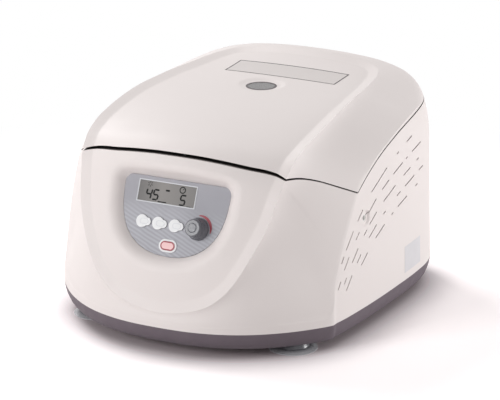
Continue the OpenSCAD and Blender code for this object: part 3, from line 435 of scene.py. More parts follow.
def panel_prism(name, low_outline, low, high_outline, high):
    """A solid between two outlines of the panel at two heights over its face."""
    rows = [[on_panel(*a, low), on_panel(*b, high)] for a, b in zip(low_outline, high_outline)]
    return closed_grid(name, np.array(rows))


WALL_ROWS = [0, 0.12, 0.3, 0.5, 0.68, 0.8, 0.86, 0.91, 0.95, 0.98]
DISH_ROWS = np.concatenate([np.linspace(0, 0.5, 26), np.linspace(0.53, 0.97, 15)])
form = closed_grid("form", form_rows(10, WALL_ROWS, np.linspace(0, 1, 25), DISH_ROWS),
                   (0, 0, SKIRT), dish_at(POLE[0], 0))
tree = BVHTree.FromObject(form, bpy.context.evaluated_depsgraph_get())
WALL_DOWN = np.array([0, 0, WALL])
NARROWED = np.array([1 - 2 * WALL / 330, 1 - 2 * WALL / 377, 1])
coarse = form_rows(2, [0, 0.5, 0.82, 0.93], np.linspace(0, 1, 9), np.linspace(0, 0.95, 9))
inner = closed_grid("inner", coarse * NARROWED - WALL_DOWN,
                    (0, 0, SKIRT - WALL), dish_at(POLE[0], 0) - WALL_DOWN)


def surface(point, direction):
    """Where a line meets the outside of the form, and the normal there, in millimetres."""
    hit = tree.ray_cast(Vector(point) * MM, Vector(direction))
    return np.array(hit[0]) / MM, np.array(hit[1])


def recess_cutter():
    """The well of the control panel, with its edge rounded where it meets the front."""
    grid = []
    for (x, s), (wide_x, wide_s) in zip(panel_outline(0.25), panel_outline(13.0)):
        floor_point = on_panel(x, s, 0.0)
        # share of the way from the top edge, where the wall is steeper and its rounding smaller
        low = min(1.0, max(0.0, (s + 1) / 18))
        w = unit(on_panel(wide_x, wide_s, 16.0) - floor_point + UPSLOPE * 5.0 * (low - 1))
        p, n = surface(floor_point + w * 60, -w)
        along = unit(w - n * float(w @ n))
        reach = 6.5 + 2.0 * low
        start = p - w * reach
        end, end_n = surface(p + along * reach + n * 20, -n)
        flat = unit(along - end_n * float(along @ end_n))
        col = [on_panel(x, s, -2.5), floor_point]
        col += [floor_point + (start - floor_point) * f for f in (0.35, 0.7)]
        col += [cubic(start, start + w * reach * 0.62, end - flat * reach * 0.62, end, f)
                for f in np.linspace(0, 1, 10)]
        col += [end + flat * 2.0 + end_n * 0.4, end + flat * 3.5 + end_n * 3.0, end + flat * 4 + end_n * 12]
        grid.append(col)
    return closed_grid("recess", np.array(grid))


# Air slots of the sides: the bend that all rows follow, then each row's height and its dashes from y to y
SLOT_CURVE = np.array([-94, -61, -38, -21, -8.7, 0, 6.7, 12, 16, 19.5, 22, 24], float)
SLOT_ROWS = [
    [162, [[-87, -83.5], [-79, -66], [-57, -47], [-27, 8], [35, 39], [62, 76]]],
    [146, [[-93, -89], [-82, -74], [-60, -54], [-39, -17], [-2, 13], [25, 48], [58, 61], [75, 100]]],
    [131, [[-82, -78.5], [-67, -56], [-43, -38], [-31, -16], [1, 29], [51, 69], [88, 93]]],
    [117.5, [[-78, -68], [-57, -50], [-32, -16], [1, 5], [34, 42], [55, 80], [95, 106]]],
    [104.5, [[-48, -36], [-17, 3], [20.5, 24], [36, 59], [84, 89]]]]


SLOT_HALF_W = 0.75
SLOT_FROM_X, SLOT_TO_X = 140, 185


def slot_line(y, c):
    return c + float(open_curve(SLOT_CURVE, np.array((y + 100) / 20))[0])


def slot_cutters():
    """All side slots as one mesh of flat bars with round ends, each as long as its dash."""
    bm = bmesh.new()
    for sx in (-1, 1):
        for c, dashes in SLOT_ROWS:
            for y0, y1 in dashes:
                p, q = Vector((y0, slot_line(y0, c))), Vector((y1, slot_line(y1, c)))
                d = (q - p).normalized()
                n = Vector((-d.y, d.x))
                ring = []
                for end, turn in ((p, math.pi / 2), (q, -math.pi / 2)):
                    for k in range(9):
                        a = turn + math.pi * k / 8
                        ring.append(end + (d * math.cos(a) + n * math.sin(a)) * SLOT_HALF_W)
                lo = [bm.verts.new(Vector((sx * SLOT_FROM_X, v.x, v.y)) * MM) for v in ring]
                hi = [bm.verts.new(Vector((sx * SLOT_TO_X, v.x, v.y)) * MM) for v in ring]
                bm.faces.new(lo)
                bm.faces.new(hi[::-1])
                for k in range(len(ring)):
                    m = (k + 1) % len(ring)
                    bm.faces.new((lo[k], hi[k], hi[m], lo[m]))
    bmesh.ops.recalc_face_normals(bm, faces=bm.faces)
    me = bpy.data.meshes.new("slots")
    bm.to_mesh(me)
    bm.free()
    o = bpy.data.objects.new("slots", me)
    scene.collection.objects.link(o)
    return o


def ring_piece(name, ro, ri, z0, z1, segments=160):
    return turned_piece(name, [(ri, z0), (ro, z0), (ro, z1), (ri, z1), (ri, z0)], (0, ROTOR_Y, 0), segments)


def disc(name, r, z0, z1, y=ROTOR_Y, x=0, segments=160):
    return turned_piece(name, [(r, z0), (r, z1)], (x, y, 0), segments)


def hinge_notches(o, low, high):
    """Cut the two notches for the hinges, between two heights from the hinge's axis."""
    for x0 in (-NOTCH_X - NOTCH_W, NOTCH_X):
        cut(o, box_piece("notch", x0, x0 + NOTCH_W, HINGE_Y - 9, HINGE_Y + 21, HINGE_Z + low, HINGE_Z + high))


# The housing: outer skin, deck along the seam, collar, well and panel pocket
shell = copy_of(form, "body_shell")
cut(shell, seam_solid("below", -GAP / 2), "INTERSECT")
hollow = copy_of(inner, "hollow")
cut(hollow, seam_solid("below_deck", -GAP / 2, WALL), "INTERSECT")
cut(shell, hollow)
extra = ring_piece("well", WELL_R + WALL, WELL_R, RIM_Z - 1, 230)
cut(extra, seam_solid("below_well", -GAP / 2), "INTERSECT")
cut(extra, ring_piece("collar", WELL_R + WALL, COLLAR_R, COLLAR_Z, RIM_Z), "UNION")
cut(extra, box_piece("rear_frame", -91, 91, 182.9, 250, SKIRT, 100), "UNION")
cut(extra, copy_of(form, "limit"), "INTERSECT")
cut(shell, extra, "UNION")
pocket = panel_prism("pocket", panel_outline(3), -5.5, panel_outline(19), 20)
cut(pocket, copy_of(form, "limit"), "INTERSECT")
cut(pocket, seam_solid("below_pocket", -GAP / 2), "INTERSECT")
cut(shell, pocket, "UNION")
cut(shell, disc("above_rim", WELL_R, RIM_Z, 270))
cut(shell, disc("bowl_hole", COLLAR_R, 1, 300))
cut(shell, disc("under_collar", BOWL_R + 6.4, 1, COLLAR_Z))
cut(shell, recess_cutter())
cut(shell, panel_prism("behind_panel", panel_outline(-5), -8.0, panel_outline(-5), 0.0))
cut(shell, slot_cutters())
hinge_notches(shell, -10, 50)
cut(shell, box_piece("latch_slot", -5, 5, -129.5, -112.5, 185, 300))
cut(shell, turned_piece("release", [(4.0, 0), (4.0, 300)], RELEASE_AXIS, 48, 0))
cut(shell, turned_piece("release_dish", [(6.5, 160.4), (11.5, 165)], RELEASE_AXIS, 64, 0))
cut(shell, box_piece("rear_window", -85, 85, 150, 250, 34, 95))
smooth(shell, 34)
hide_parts("housing")
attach(shell, "base")

# The lid: skin above the seam, liner bosses, ribs, window seat and hinge notches
WINDOW_FLOOR = float(dish_at(POLE[0], 0.0)[2]) - 1.6
BOSS_TURNS = [math.radians(a) for a in (30, 90, 150, 210, 270, 330)]
BOSS_SPOTS = [(112 * math.cos(r), ROTOR_Y + 112 * math.sin(r)) for r in BOSS_TURNS]
lid = copy_of(form, "lid_cover")
cut(lid, copy_of(inner, "hollow"))
inside = None
for r, (x, y) in zip(BOSS_TURNS, BOSS_SPOTS):
    boss = disc("boss", 6, LINER_Z + LINER_T, 260, y, x, 32)
    d = Vector((math.cos(r), math.sin(r)))
    n = Vector((-d.y, d.x)) * 1.2
    p, q = d * 24, d * 108
    rib = prism("rib", [(v.x, v.y + ROTOR_Y) for v in (p + n, p - n, q - n, q + n)], 2, 205, 260)
    cut(boss, rib, "UNION")
    inside = boss if inside is None else cut(inside, boss, "UNION")
cut(inside, disc("window_seat", 18, WINDOW_FLOOR - 10, 260, WINDOW_Y), "UNION")
cut(inside, box_piece("latch_boss", -10, 10, -122, -112.5, 200.1, 260), "UNION")
for x in (-80, 80):
    for y in (155, 171):
        cut(inside, box_piece("leaf_boss", x - 10, x + 10, y - 5, y + 5, 211.5, 260), "UNION")
cut(inside, copy_of(form, "limit"), "INTERSECT")
cut(lid, inside, "UNION")
cut(lid, seam_solid("below_lid", GAP / 2))
cut(lid, disc("liner_room", LINER_R + 0.5, 100, LINER_Z + LINER_T))
for x, y in BOSS_SPOTS:
    cut(lid, disc("boss_low", 6, LINER_Z + LINER_T, 206.5, y, x, 32), "UNION")
dish_profile = [(r, WINDOW_FLOOR + h)
                for r, h in ((17, 0), (19.5, 0.2), (22, 0.75), (24, 1.35), (27, 2.2), (34, 5))]
cut(lid, turned_piece("window_dish", dish_profile, (0, WINDOW_Y, 0), 128))
cut(lid, disc("window_hole", 14.1, WINDOW_FLOOR - 3, 260, WINDOW_Y))
cut(lid, disc("window_sight", 11.5, 150, 260, WINDOW_Y))
hinge_notches(lid, -20, 11.05)
smooth(lid, 34)
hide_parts("lid_shell")
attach(lid, "lid")
rim_profile = [(r, WINDOW_FLOOR + h)
               for r, h in ((14.2, -0.4), (16.4, -0.4), (16.4, 0.15), (14.2, 0.3), (14.2, -0.4))]
window_rim = turned_piece("window_rim", rim_profile, (0, WINDOW_Y, 0), 128)

# The base pan, with its rounded lower edge. Each ring is the foot's line at a share in x and y and a height.
foot_line = loop_curve(FEET, np.arange(TURN * 8) / 8)


def foot_rings(name, rings):
    rows = []
    for share_x, share_y, z in rings:
        ring = foot_line * np.array([share_x, share_y])
        rows.append(np.concatenate([ring, np.full((len(ring), 1), z)], 1))
    return closed_grid(name, np.stack(rows, 1))


pan = foot_rings("base_ring", [
    (0.95, 0.925, 10.0), (0.96, 0.94, 10.3), (0.972, 0.957, 11.8), (0.982, 0.972, 14.5),
    (0.990, 0.985, 18.5), (0.996, 0.994, 23.0), (0.9995, 0.999, 27.5), (1.0, 1.0, 29.0)])
cut(pan, foot_rings("pan_hollow", [(0.94, 0.92, 13.0), (0.9725, 0.9725, 27.0), (0.975, 0.978, 31.0)]))
for x in (-60, 60):
    for i in range(-4, 5):
        cut(pan, box_piece("pan_slot", x - 14, x + 14, i * 9 - 2, i * 9 + 2, 0, 15))
for x, y in FOOT_SPOTS:
    cut(pan, disc("pan_hole", 2.6, 0, 60, y, x, 24))
smooth(pan, 30)
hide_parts("base_pan")
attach(pan, "base")

bpy.data.objects.remove(inner)


# Materials
class Paint:
    """A small helper that adds shader nodes to one material."""

    def __init__(self, name, rough=0.5, metallic=0.0, specular=0.5, coat=0.0, alpha=1.0):
        self.m = bpy.data.materials.get(name) or bpy.data.materials.new(name)
        self.m.use_nodes = True
        self.t = self.m.node_tree
        self.bsdf = self.t.nodes["Principled BSDF"]
        self.set("Roughness", rough)
        self.set("Metallic", metallic)
        self.set("Specular IOR Level", specular)
        self.set("Coat Weight", coat)
        self.set("Coat Roughness", 0.12)
        self.set("Alpha", alpha)
        self.place = self.node("ShaderNodeTexCoord").outputs["Object"]

    def node(self, kind, **settings):
        n = self.t.nodes.new(kind)
        for k, v in settings.items():
            setattr(n, k, v)
        return n

    def set(self, socket, value):
        self.bsdf.inputs[socket].default_value = value

    def wire(self, a, b):
        self.t.links.new(a, b)

    def put(self, socket, v):
        """Join a socket to another one, or give it a number, or a colour of three numbers."""
        if isinstance(v, bpy.types.NodeSocket):
            self.wire(v, socket)
        else:
            socket.default_value = (*v, 1) if isinstance(v, tuple) else v

    def math(self, how, a, b=0.0):
        n = self.node("ShaderNodeMath", operation=how)
        self.put(n.inputs[0], a)
        self.put(n.inputs[1], b)
        return n.outputs[0]

    def mapping(self, scale=(1, 1, 1), location=(0, 0, 0), rotation=(0, 0, 0), kind="POINT", source=None):
        n = self.node("ShaderNodeMapping", vector_type=kind)
        self.wire(source or self.place, n.inputs["Vector"])
        n.inputs["Scale"].default_value = scale
        n.inputs["Location"].default_value = location
        n.inputs["Rotation"].default_value = rotation
        return n.outputs["Vector"]

    def split(self, vector):
        n = self.node("ShaderNodeSeparateXYZ")
        self.wire(vector, n.inputs[0])
        return n.outputs

    def noise(self, scale, detail=3.0, source=None):
        n = self.node("ShaderNodeTexNoise")
        self.wire(source or self.place, n.inputs["Vector"])
        n.inputs["Scale"].default_value = scale
        n.inputs["Detail"].default_value = detail
        n.inputs["Roughness"].default_value = 0.55
        return n.outputs["Fac"]

    def ramp(self, v, stops):
        n = self.node("ShaderNodeValToRGB")
        self.wire(v, n.inputs["Fac"])
        e = n.color_ramp.elements
        while len(e) < len(stops):
            e.new(0.5)
        for k, (place, colour) in enumerate(stops):
            e[k].position = place
            e[k].color = (*colour, 1)
        return n.outputs["Color"]

    def mix(self, f, a, b):
        n = self.node("ShaderNodeMix", data_type="RGBA")
        self.put(n.inputs["Factor"], f)
        self.put(n.inputs[6], a)
        self.put(n.inputs[7], b)
        return n.outputs[2]

    def colour(self, v):
        self.wire(v, self.bsdf.inputs["Base Color"])

    def rough(self, v, low_at, low, high_at, high):
        """Roughness between low and high, as v goes from one place to the other."""
        self.wire(self.ramp(v, [(low_at, (low,) * 3), (high_at, (high,) * 3)]), self.bsdf.inputs["Roughness"])

    def bump(self, height, strength, distance):
        n = self.node("ShaderNodeBump")
        n.inputs["Strength"].default_value = strength
        n.inputs["Distance"].default_value = distance
        self.wire(height, n.inputs["Height"])
        self.wire(n.outputs["Normal"], self.bsdf.inputs["Normal"])

    def on(self, o):
        o.data.materials.clear()
        o.data.materials.append(self.m)


def grain(paint, colour, spread, scale, bump, size, rough):
    """Slow colour drift, uneven gloss and the fine grain of a mould."""
    drift = paint.noise(scale, 3)
    lo = tuple(c * (1 - spread) for c in colour)
    hi = tuple(min(1, c * (1 + spread)) for c in colour)
    paint.colour(paint.ramp(drift, [(0.3, lo), (0.7, hi)]))
    paint.rough(paint.noise(scale * 2.3, 4), 0.35, rough[0], 0.7, rough[1])
    paint.bump(paint.noise(size, 2), bump, 0.0001)
    return paint


WHITE = (0.775, 0.715, 0.70)
grain(Paint("shell_plastic", specular=0.3), WHITE, 0.006, 9, 0.04, 1400, (0.47, 0.55))
# Painted shade in the seam: its faces go towards black where ambient occlusion finds the other side of the
# gap close
seam_shade = Paint("seam_painted_shade", specular=0.3)
near = seam_shade.node("ShaderNodeAmbientOcclusion", samples=8)
near.inputs["Distance"].default_value = 0.012
seam_shade.colour(seam_shade.ramp(near.outputs["AO"], [
    (0.46, (0.010, 0.007, 0.006)), (0.74, (0.20, 0.17, 0.165)), (0.97, WHITE)]))
seam_shade.rough(seam_shade.noise(40, 3), 0.3, 0.45, 0.7, 0.6)
seam_shade.bump(seam_shade.noise(1400, 2), 0.04, 0.0001)
grain(Paint("base_plastic", specular=0.35), (0.14, 0.112, 0.132), 0.05, 40, 0.12, 1600, (0.5, 0.62)).on(pan)


def brushed(name, colour, rough, stretch=(3, 3, 700)):
    """Metal with fine lines, short along the axis of the largest number of stretch."""
    p = Paint(name, rough=rough, metallic=1.0)
    lines = p.noise(1.0, 4, source=p.mapping(scale=stretch))
    p.colour(p.ramp(lines, [(0.3, tuple(c * 0.86 for c in colour)), (0.7, colour)]))
    p.rough(lines, 0.3, rough * 0.8, 0.7, rough * 1.25)
    p.bump(lines, 0.08, 0.00005)
    return p


finishes = {
    "steel_plate": brushed("zinc_plate", (0.62, 0.63, 0.65), 0.38, (350, 8, 8)),
    "bowl": brushed("bowl_steel", (0.66, 0.66, 0.66), 0.3),
    "fastener": brushed("plain_steel", (0.55, 0.55, 0.56), 0.3, (300, 300, 20)),
    "guard": grain(Paint("guard_paint", specular=0.4), (0.10, 0.10, 0.11), 0.05, 50, 0.1, 700, (0.4, 0.5)),
    "black_part": grain(Paint("black_plastic", specular=0.4), (0.02, 0.02, 0.022), 0.1, 60, 0.1, 1500,
                        (0.4, 0.55)),
    "rubber_part": grain(Paint("black_rubber", specular=0.25), (0.018, 0.018, 0.018), 0.15, 90, 0.15, 900,
                         (0.65, 0.8)),
    "motor": grain(Paint("motor_paint", specular=0.4), (0.07, 0.07, 0.08), 0.1, 60, 0.3, 400, (0.45, 0.6)),
    "rotor": brushed("rotor_metal", (0.50, 0.51, 0.53), 0.34, (120, 120, 120)),
    "nut": grain(Paint("nut_plastic", specular=0.5), (0.015, 0.015, 0.017), 0.1, 60, 0.05, 1500, (0.2, 0.3)),
    "board": grain(Paint("board_resin", specular=0.5), (0.012, 0.026, 0.020), 0.2, 120, 0.1, 900,
                   (0.3, 0.45)),
    "key": grain(Paint("key_rubber", specular=0.4), (0.74, 0.74, 0.75), 0.02, 120, 0.05, 1800, (0.35, 0.45)),
    "knob": grain(Paint("knob_plastic", specular=0.4, coat=0.15), (0.125, 0.125, 0.142), 0.03, 90, 0.04, 1800,
                  (0.25, 0.34)),
    "liner": grain(Paint("liner_paint", specular=0.4), (0.62, 0.61, 0.60), 0.02, 30, 0.1, 900, (0.4, 0.5)),
}
slot_of = {s["node"]: s["material_slot"] for s in frame["record"]["subparts"]}
for name, o in nodes.items():
    if o.hide_render:
        continue
    smooth(o, 32)
    if slot_of[name] in finishes:
        finishes[slot_of[name]].on(o)

# Feet: dark cup, paler soft rim, by the distance from the nearest foot's middle
foot_paint = Paint("foot_rubber", specular=0.45, coat=0.2)
xyz = foot_paint.split(foot_paint.place)
near = None
for x, y in FOOT_SPOTS:
    dx = foot_paint.math("SUBTRACT", xyz[0], x * MM)
    dy = foot_paint.math("SUBTRACT", xyz[1], y * MM)
    squares = foot_paint.math("ADD", foot_paint.math("MULTIPLY", dx, dx), foot_paint.math("MULTIPLY", dy, dy))
    away = foot_paint.math("SQRT", squares)
    near = away if near is None else foot_paint.math("MINIMUM", near, away)
foot_paint.colour(foot_paint.ramp(foot_paint.math("MULTIPLY", near, 30.0),
                                  [(0.5, (0.10, 0.10, 0.115)), (0.66, (0.42, 0.42, 0.44))]))
foot_paint.rough(foot_paint.noise(90, 3), 0.3, 0.22, 0.7, 0.36)
foot_paint.bump(foot_paint.noise(700, 2), 0.05, 0.0001)
for n in ("foot_front_left", "foot_front_right", "foot_rear_left", "foot_rear_right"):
    foot_paint.on(nodes[n])

# Panel film: blue-grey, with fine diagonal lines on its lower half and a darker tone towards the right
film = Paint("panel_film", rough=0.46, specular=0.3)
local = film.mapping(kind="TEXTURE", location=(0, PANEL_Y * MM, PANEL_Z * MM),
                     rotation=(math.pi / 2 - TILT, 0, 0))
across, upward = film.split(local)[:2]
lines = film.node("ShaderNodeTexWave", wave_type="BANDS", bands_direction="Y", wave_profile="SIN")
film.wire(film.mapping(rotation=(0, 0, math.radians(22)), source=local), lines.inputs["Vector"])
lines.inputs["Scale"].default_value = 84
lines.inputs["Distortion"].default_value = 2.2
lines.inputs["Detail"].default_value = 1.5
lines.inputs["Detail Scale"].default_value = 0.6
low = film.ramp(film.math("MULTIPLY", upward, -12.0), [(0.30, (0, 0, 0)), (0.46, (1, 1, 1))])
base = film.ramp(film.noise(26, 2), [(0.35, (0.335, 0.33, 0.365)), (0.7, (0.355, 0.35, 0.385))])
line_share = film.math("MULTIPLY", film.math("MULTIPLY", lines.outputs["Fac"], 0.52), low)
drawn = film.mix(line_share, base, (0.50, 0.51, 0.55))
edge = film.math("MULTIPLY", film.math("ADD", across, 0.06), 5.5)
tone = film.ramp(edge, [(0.35, (0, 0, 0)), (0.95, (0.5, 0.5, 0.5))])
film.colour(film.mix(tone, drawn, (0.25, 0.255, 0.285)))
film.bump(film.noise(1600, 2), 0.03, 0.00005)
film.on(nodes["control_panel"])

# Display: darker at its left end
lcd = Paint("display_film", rough=0.35, specular=0.3)
across = lcd.split(lcd.place)[0]
lcd.colour(lcd.ramp(lcd.math("MULTIPLY", lcd.math("ADD", across, 0.0435), 15.5), [
    (0.0, (0.085, 0.078, 0.076)), (0.4, (0.185, 0.171, 0.162)), (1.0, (0.13, 0.121, 0.116))]))
lcd.bump(lcd.noise(1500, 2), 0.02, 0.00005)
lcd.on(nodes["display_window"])
ink = grain(Paint("display_ink", specular=0.15), (0.006, 0.006, 0.006), 0.1, 90, 0.02, 900, (0.5, 0.6))
pale = grain(Paint("panel_print", specular=0.3), (0.60, 0.61, 0.64), 0.02, 90, 0.02, 900, (0.4, 0.5))
red = grain(Paint("red_print", specular=0.3), (0.33, 0.055, 0.075), 0.04, 90, 0.02, 900, (0.4, 0.5))
start_paint = grain(Paint("start_rubber", specular=0.4), (0.80, 0.50, 0.50), 0.03, 120, 0.05, 1800,
                    (0.35, 0.45))
start_paint.on(nodes["start_button"])
glass = grain(Paint("window_plastic", specular=0.5, coat=0.3, alpha=0.78), (0.16, 0.15, 0.15), 0.05, 60, 0.01,
              900, (0.12, 0.2))
glass.m.surface_render_method = "BLENDED"
glass.on(nodes["lid_window"])
rim_paint = grain(Paint("window_rim", specular=0.3), (0.10, 0.085, 0.088), 0.03, 120, 0.05, 1800, (0.4, 0.5))
rim_paint.on(window_rim)
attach(window_rim, "lid")


# Marks on the panel, the display and the keys, at (x, s) on the panel's face in millimetres
def placed(o, body, paint):
    """Give a piece its paint and the body it rides on."""
    paint.on(o)
    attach(o, body)


def flat_strip(name, pts, height, top, body, paint):
    """A flat outline of (x, s) points on the panel's face, with a little thickness."""
    placed(panel_prism(name, pts, height, pts, top), body, paint)


def display_strip(name, pts):
    flat_strip(name, pts, 0.3, 0.36, "base", ink)


def bar(x0, s0, x1, s1, w):
    """The outline of a stroke of width w, pointed at both ends."""
    d = Vector((x1 - x0, s1 - s0)).normalized()
    n = Vector((-d.y, d.x)) * w / 2
    c = d * w / 2
    a, b = Vector((x0, s0)), Vector((x1, s1))
    return [tuple(v) for v in (a + c + n, a, a + c - n, b - c - n, b, b - c + n)]


DIGIT_W, DIGIT_H, DIGIT_SLANT = 5.6, 10.0, -0.16
STROKES = {"a": (0, 0, 1, 0), "b": (1, 0, 1, 0.5), "c": (1, 0.5, 1, 1), "d": (0, 1, 1, 1),
           "f": (0, 0, 0, 0.5), "g": (0, 0.5, 1, 0.5)}
for name, strokes, x, s in (("tens", "bcfg", -35.0, 13.0), ("ones", "acdfg", -27.0, 13.0),
                            ("minutes", "acdfg", 4.0, 14.5)):
    for k in strokes:
        x0, s0, x1, s1 = STROKES[k]
        display_strip(f"{name}_{k}", bar(
            x + DIGIT_W * x0 - DIGIT_SLANT * DIGIT_H * (1 - s0), s + DIGIT_H * s0,
            x + DIGIT_W * x1 - DIGIT_SLANT * DIGIT_H * (1 - s1), s + DIGIT_H * s1, 1.75))
display_strip("dash", bar(-13.2, 12.2, -8.0, 12.2, 1.9))
display_strip("underline_left", bar(-20.5, 24.4, -10, 24.4, 1.1))
display_strip("underline_right", bar(12.5, 25.4, 18, 25.4, 1.1))


def ring_outline(x, s, ro, ri, a0, a1, swell=0.0, n=48):
    """A ring between two angles, or a crescent: with swell its ends are narrower than its middle."""
    a = np.radians(np.linspace(a0, a1, n))
    half_w = (ro - ri) / 2 * (1 - swell + swell * np.sin(math.pi * np.linspace(0, 1, n)) ** 0.8)
    mid = (ro + ri) / 2
    out = [(x + (mid + hw) * math.cos(t), s - (mid + hw) * math.sin(t)) for t, hw in zip(a, half_w)]
    inn = [(x + (mid - hw) * math.cos(t), s - (mid - hw) * math.sin(t)) for t, hw in zip(a, half_w)]
    return out + inn[::-1]


display_strip("clock_mark", ring_outline(5.8, 9.4, 3.6, 2.5, 0, 359))
display_strip("clock_hand", bar(5.8, 9.4, 7.4, 7.6, 0.6))
for k in range(6):
    u, v = math.cos(k * math.pi / 3 + 0.4), math.sin(k * math.pi / 3 + 0.4)
    display_strip(f"speed_mark_{k}", bar(-31.5 + 1.1 * u, 8.0 + 1.1 * v, -31.5 + 3.0 * u, 8.0 + 3.0 * v, 0.7))
flat_strip("knob_mark", ring_outline(30.5, 45.5, 15.2, 12.3, -12, 97, 0.75), 0.02, 0.1, "base", red)

# The pale frame round the display: its middle, its size outside and the width of its bars
FRAME_X, FRAME_S, FRAME_W, FRAME_H, FRAME_BAR = -11.2, 15.1, 66.6, 23.0, 1.05
BAR_X, BAR_S = FRAME_W / 2 - FRAME_BAR / 2, FRAME_H / 2 - FRAME_BAR / 2
for k, (dx, dy, w, h) in enumerate(((0, -BAR_S, FRAME_W, FRAME_BAR), (0, BAR_S, FRAME_W, FRAME_BAR),
                                    (-BAR_X, 0, FRAME_BAR, FRAME_H - 2 * FRAME_BAR),
                                    (BAR_X, 0, FRAME_BAR, FRAME_H - 2 * FRAME_BAR))):
    corners = [(FRAME_X + dx + a * w / 2, FRAME_S + dy + b * h / 2)
               for a, b in ((-1, -1), (1, -1), (1, 1), (-1, 1))]
    flat_strip(f"display_edge_{k}", corners, 0.0, 0.42, "base", pale)


def stadium_line(w, h, n=24):
    """The outline of a bar w long and h wide with round ends."""
    r = h / 2
    pts = []
    for sx in (1, -1):
        for k in range(n + 1):
            a = -sx * math.pi / 2 + math.pi * k / n
            pts.append((sx * (w / 2 - r) + r * math.cos(a), r * math.sin(a)))
    return pts


def loop_strip(name, outer, inner_line, x, s, height, top, body, paint):
    """A flat band between two outlines with the same number of points."""
    rows = []
    for (a, b), (c, d) in zip(outer, inner_line):
        rows.append([on_panel(x + a, s + b, height), on_panel(x + a, s + b, top),
                     on_panel(x + c, s + d, top), on_panel(x + c, s + d, height)])
    placed(tube_grid(name, np.array(rows)), body, paint)


for body, x in (("key_speed", -33.4), ("key_time", -15.0), ("key_pulse", 3.9)):
    loop_strip(body + "_lobe", stadium_line(9.6, 5.6), stadium_line(8.8, 4.8), x + 2.6, 46, 1.52, 1.58,
               body, pale)
loop_strip("start_outline", stadium_line(15.8, 8.8), stadium_line(13.5, 6.5), 0, 67, 1.58, 1.66,
           "key_start", red)


# Plates without lettering, laid on the moulded surface
def laid_plate(name, corners, direction, lift, thick, n, body, paint):
    """A plate of n by n fields between four corners, pressed onto the form along a direction."""
    d = np.asarray(direction, float)
    under, over_it = [], []
    for i in range(n + 1):
        for j in range(n + 1):
            u, v = i / n, j / n
            p = ((1 - u) * (1 - v) * np.array(corners[0]) + u * (1 - v) * np.array(corners[1])
                 + u * v * np.array(corners[2]) + (1 - u) * v * np.array(corners[3]))
            hit, normal = surface(p - d * 60, d)
            under.append(hit + normal * lift)
            over_it.append(hit + normal * (lift + thick))
    m = (n + 1) ** 2
    faces = []
    for i in range(n):
        for j in range(n):
            a = i * (n + 1) + j
            faces.append((a, a + 1, a + n + 2, a + n + 1))
            faces.append((m + a, m + a + n + 1, m + a + n + 2, m + a + 1))
    rim = [j for j in range(n)] + [i * (n + 1) + n for i in range(n)]
    rim += [n * (n + 1) + n - j for j in range(n)] + [(n - i) * (n + 1) for i in range(n)]
    for k in range(len(rim)):
        a, b = rim[k], rim[(k + 1) % len(rim)]
        faces.append((a, b, m + b, m + a))
    o = outward(mesh_of(name, under + over_it, faces))
    smooth(o, 30)
    placed(o, body, paint)


label = grain(Paint("plate_film", specular=0.35), (0.66, 0.61, 0.595), 0.01, 40, 0.02, 1200, (0.4, 0.5))
border = grain(Paint("plate_edge", specular=0.3), (0.05, 0.047, 0.048), 0.05, 60, 0.02, 1200, (0.45, 0.55))
silver = grain(Paint("rating_film", specular=0.35), (0.66, 0.64, 0.66), 0.03, 40, 0.02, 1200, (0.4, 0.5))


def over_lid(x0, x1, y0, y1):
    """Corners of a field over the lid, to be pressed down onto it."""
    return [(x0, y0, 240), (x1, y0, 240), (x1, y1, 240), (x0, y1, 240)]


DOWN = (0, 0, -1)
X0, X1, Y0, Y1, EDGE = -61.5, 68.5, 81.0, 118.5, 1.3
laid_plate("lid_plate", over_lid(X0, X1, Y0, Y1), DOWN, 0.02, 0.12, 24, "lid", label)
for k, field in enumerate(((X0, X1, Y0, Y0 + EDGE), (X0, X1, Y1 - EDGE, Y1),
                           (X0, X0 + EDGE, Y0 + EDGE, Y1 - EDGE), (X1 - EDGE, X1, Y0 + EDGE, Y1 - EDGE))):
    laid_plate(f"lid_plate_edge_{k}", over_lid(*field), DOWN, 0.14, 0.05, 16, "lid", border)
laid_plate("side_plate", [(180, 54, 37), (180, 96, 37), (180, 96, 66), (180, 54, 66)], (-1, 0, 0), 0.02, 0.12,
           12, "base", silver)
bpy.data.objects.remove(form)

# Floor and light. The camera sees a lit floor with a painted contact shadow from ambient occlusion near the
# object, which goes over into plain white further out. All other rays meet plain paper.
floor_me = bpy.data.meshes.new("floor")
floor_me.from_pydata([(-6, -6, 0), (6, -6, 0), (6, 6, 0), (-6, 6, 0)], [], [(0, 1, 2, 3)])
floor = bpy.data.objects.new("floor", floor_me)
scene.collection.objects.link(floor)
floor_paper = bpy.data.materials.new("floor_paper")
floor_paper.use_nodes = True
tree_of_floor = floor_paper.node_tree
tree_of_floor.nodes.clear()


def floor_node(kind):
    return tree_of_floor.nodes.new("ShaderNode" + kind)


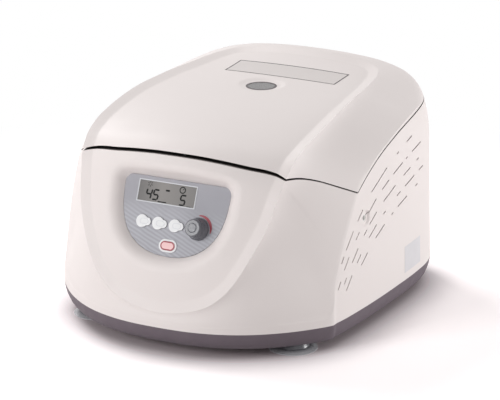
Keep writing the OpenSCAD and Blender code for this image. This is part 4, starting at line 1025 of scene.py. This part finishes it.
paper = floor_node("BsdfDiffuse")
paper.inputs["Color"].default_value = (0.85, 0.83, 0.83, 1)
seen_paper = floor_node("BsdfDiffuse")
ray_kind = floor_node("LightPath")
both_papers = floor_node("MixShader")
sheet = floor_node("OutputMaterial")
far_white = floor_node("Emission")
spot = floor_node("TexCoord")
length = floor_node("VectorMath")
length.operation = "LENGTH"
fade = floor_node("MapRange")
fade.interpolation_type = "SMOOTHSTEP"
fade.inputs["From Min"].default_value = 0.30
fade.inputs["From Max"].default_value = 0.70
edge_papers = floor_node("MixShader")
# Painted contact shadow: the floor seen by the camera darkens where ambient occlusion finds the object close
near_floor = floor_node("AmbientOcclusion")
near_floor.inputs["Distance"].default_value = 0.07
floor_shadow_ramp = floor_node("ValToRGB")
stops = floor_shadow_ramp.color_ramp.elements
stops[0].position = 0.25
stops[0].color = (0.62, 0.54, 0.56, 1)
stops[1].position = 0.85
stops[1].color = (1.42, 1.35, 1.36, 1)
for a, b in ((near_floor.outputs["AO"], floor_shadow_ramp.inputs["Fac"]),
             (floor_shadow_ramp.outputs["Color"], seen_paper.inputs["Color"]),
             (spot.outputs["Object"], length.inputs[0]),
             (length.outputs["Value"], fade.inputs["Value"]),
             (fade.outputs["Result"], edge_papers.inputs[0]),
             (seen_paper.outputs[0], edge_papers.inputs[1]),
             (far_white.outputs[0], edge_papers.inputs[2]),
             (ray_kind.outputs["Is Camera Ray"], both_papers.inputs[0]),
             (paper.outputs[0], both_papers.inputs[1]),
             (edge_papers.outputs[0], both_papers.inputs[2]),
             (both_papers.outputs[0], sheet.inputs["Surface"])):
    tree_of_floor.links.new(a, b)
floor_me.materials.append(floor_paper)

# The world is full white to the camera and in reflections, and weaker as a light
world = bpy.data.worlds.new("studio")
scene.world = world
world.use_nodes = True
sky = world.node_tree
backdrop = sky.nodes["Background"]
backdrop.inputs["Color"].default_value = (1, 1, 1, 1)
path = sky.nodes.new("ShaderNodeLightPath")
strength = sky.nodes.new("ShaderNodeMix")
strength.data_type = "FLOAT"
strength.inputs[2].default_value = 0.46
strength.inputs[3].default_value = 1.0
seen = sky.nodes.new("ShaderNodeMath")
seen.operation = "MAXIMUM"
sky.links.new(path.outputs["Is Camera Ray"], seen.inputs[0])
sky.links.new(path.outputs["Is Glossy Ray"], seen.inputs[1])
sky.links.new(seen.outputs[0], strength.inputs[0])
sky.links.new(strength.outputs[0], backdrop.inputs["Strength"])


def lamp(name, place, target, size, power):
    """A square lamp at a place, turned to its target."""
    d = bpy.data.lights.new(name, "AREA")
    d.shape = "RECTANGLE"
    d.size = size
    d.size_y = size
    d.energy = power
    o = bpy.data.objects.new(name, d)
    scene.collection.objects.link(o)
    o.location = place
    o.rotation_mode = "QUATERNION"
    o.rotation_quaternion = (Vector(target) - Vector(place)).to_track_quat("-Z", "Y")


lamp("key", (-1.1, -2.05, 0.9), (0, 0, 0.1), 1.0, 25)
lamp("top", (-1.6, 0.7, 1.6), (0, 0, 0.1), 1.2, 28)
lamp("right", (2.1, 1.1, 0.4), (0, 0, 0.12), 0.9, 31)

scene.view_settings.view_transform = "Standard"
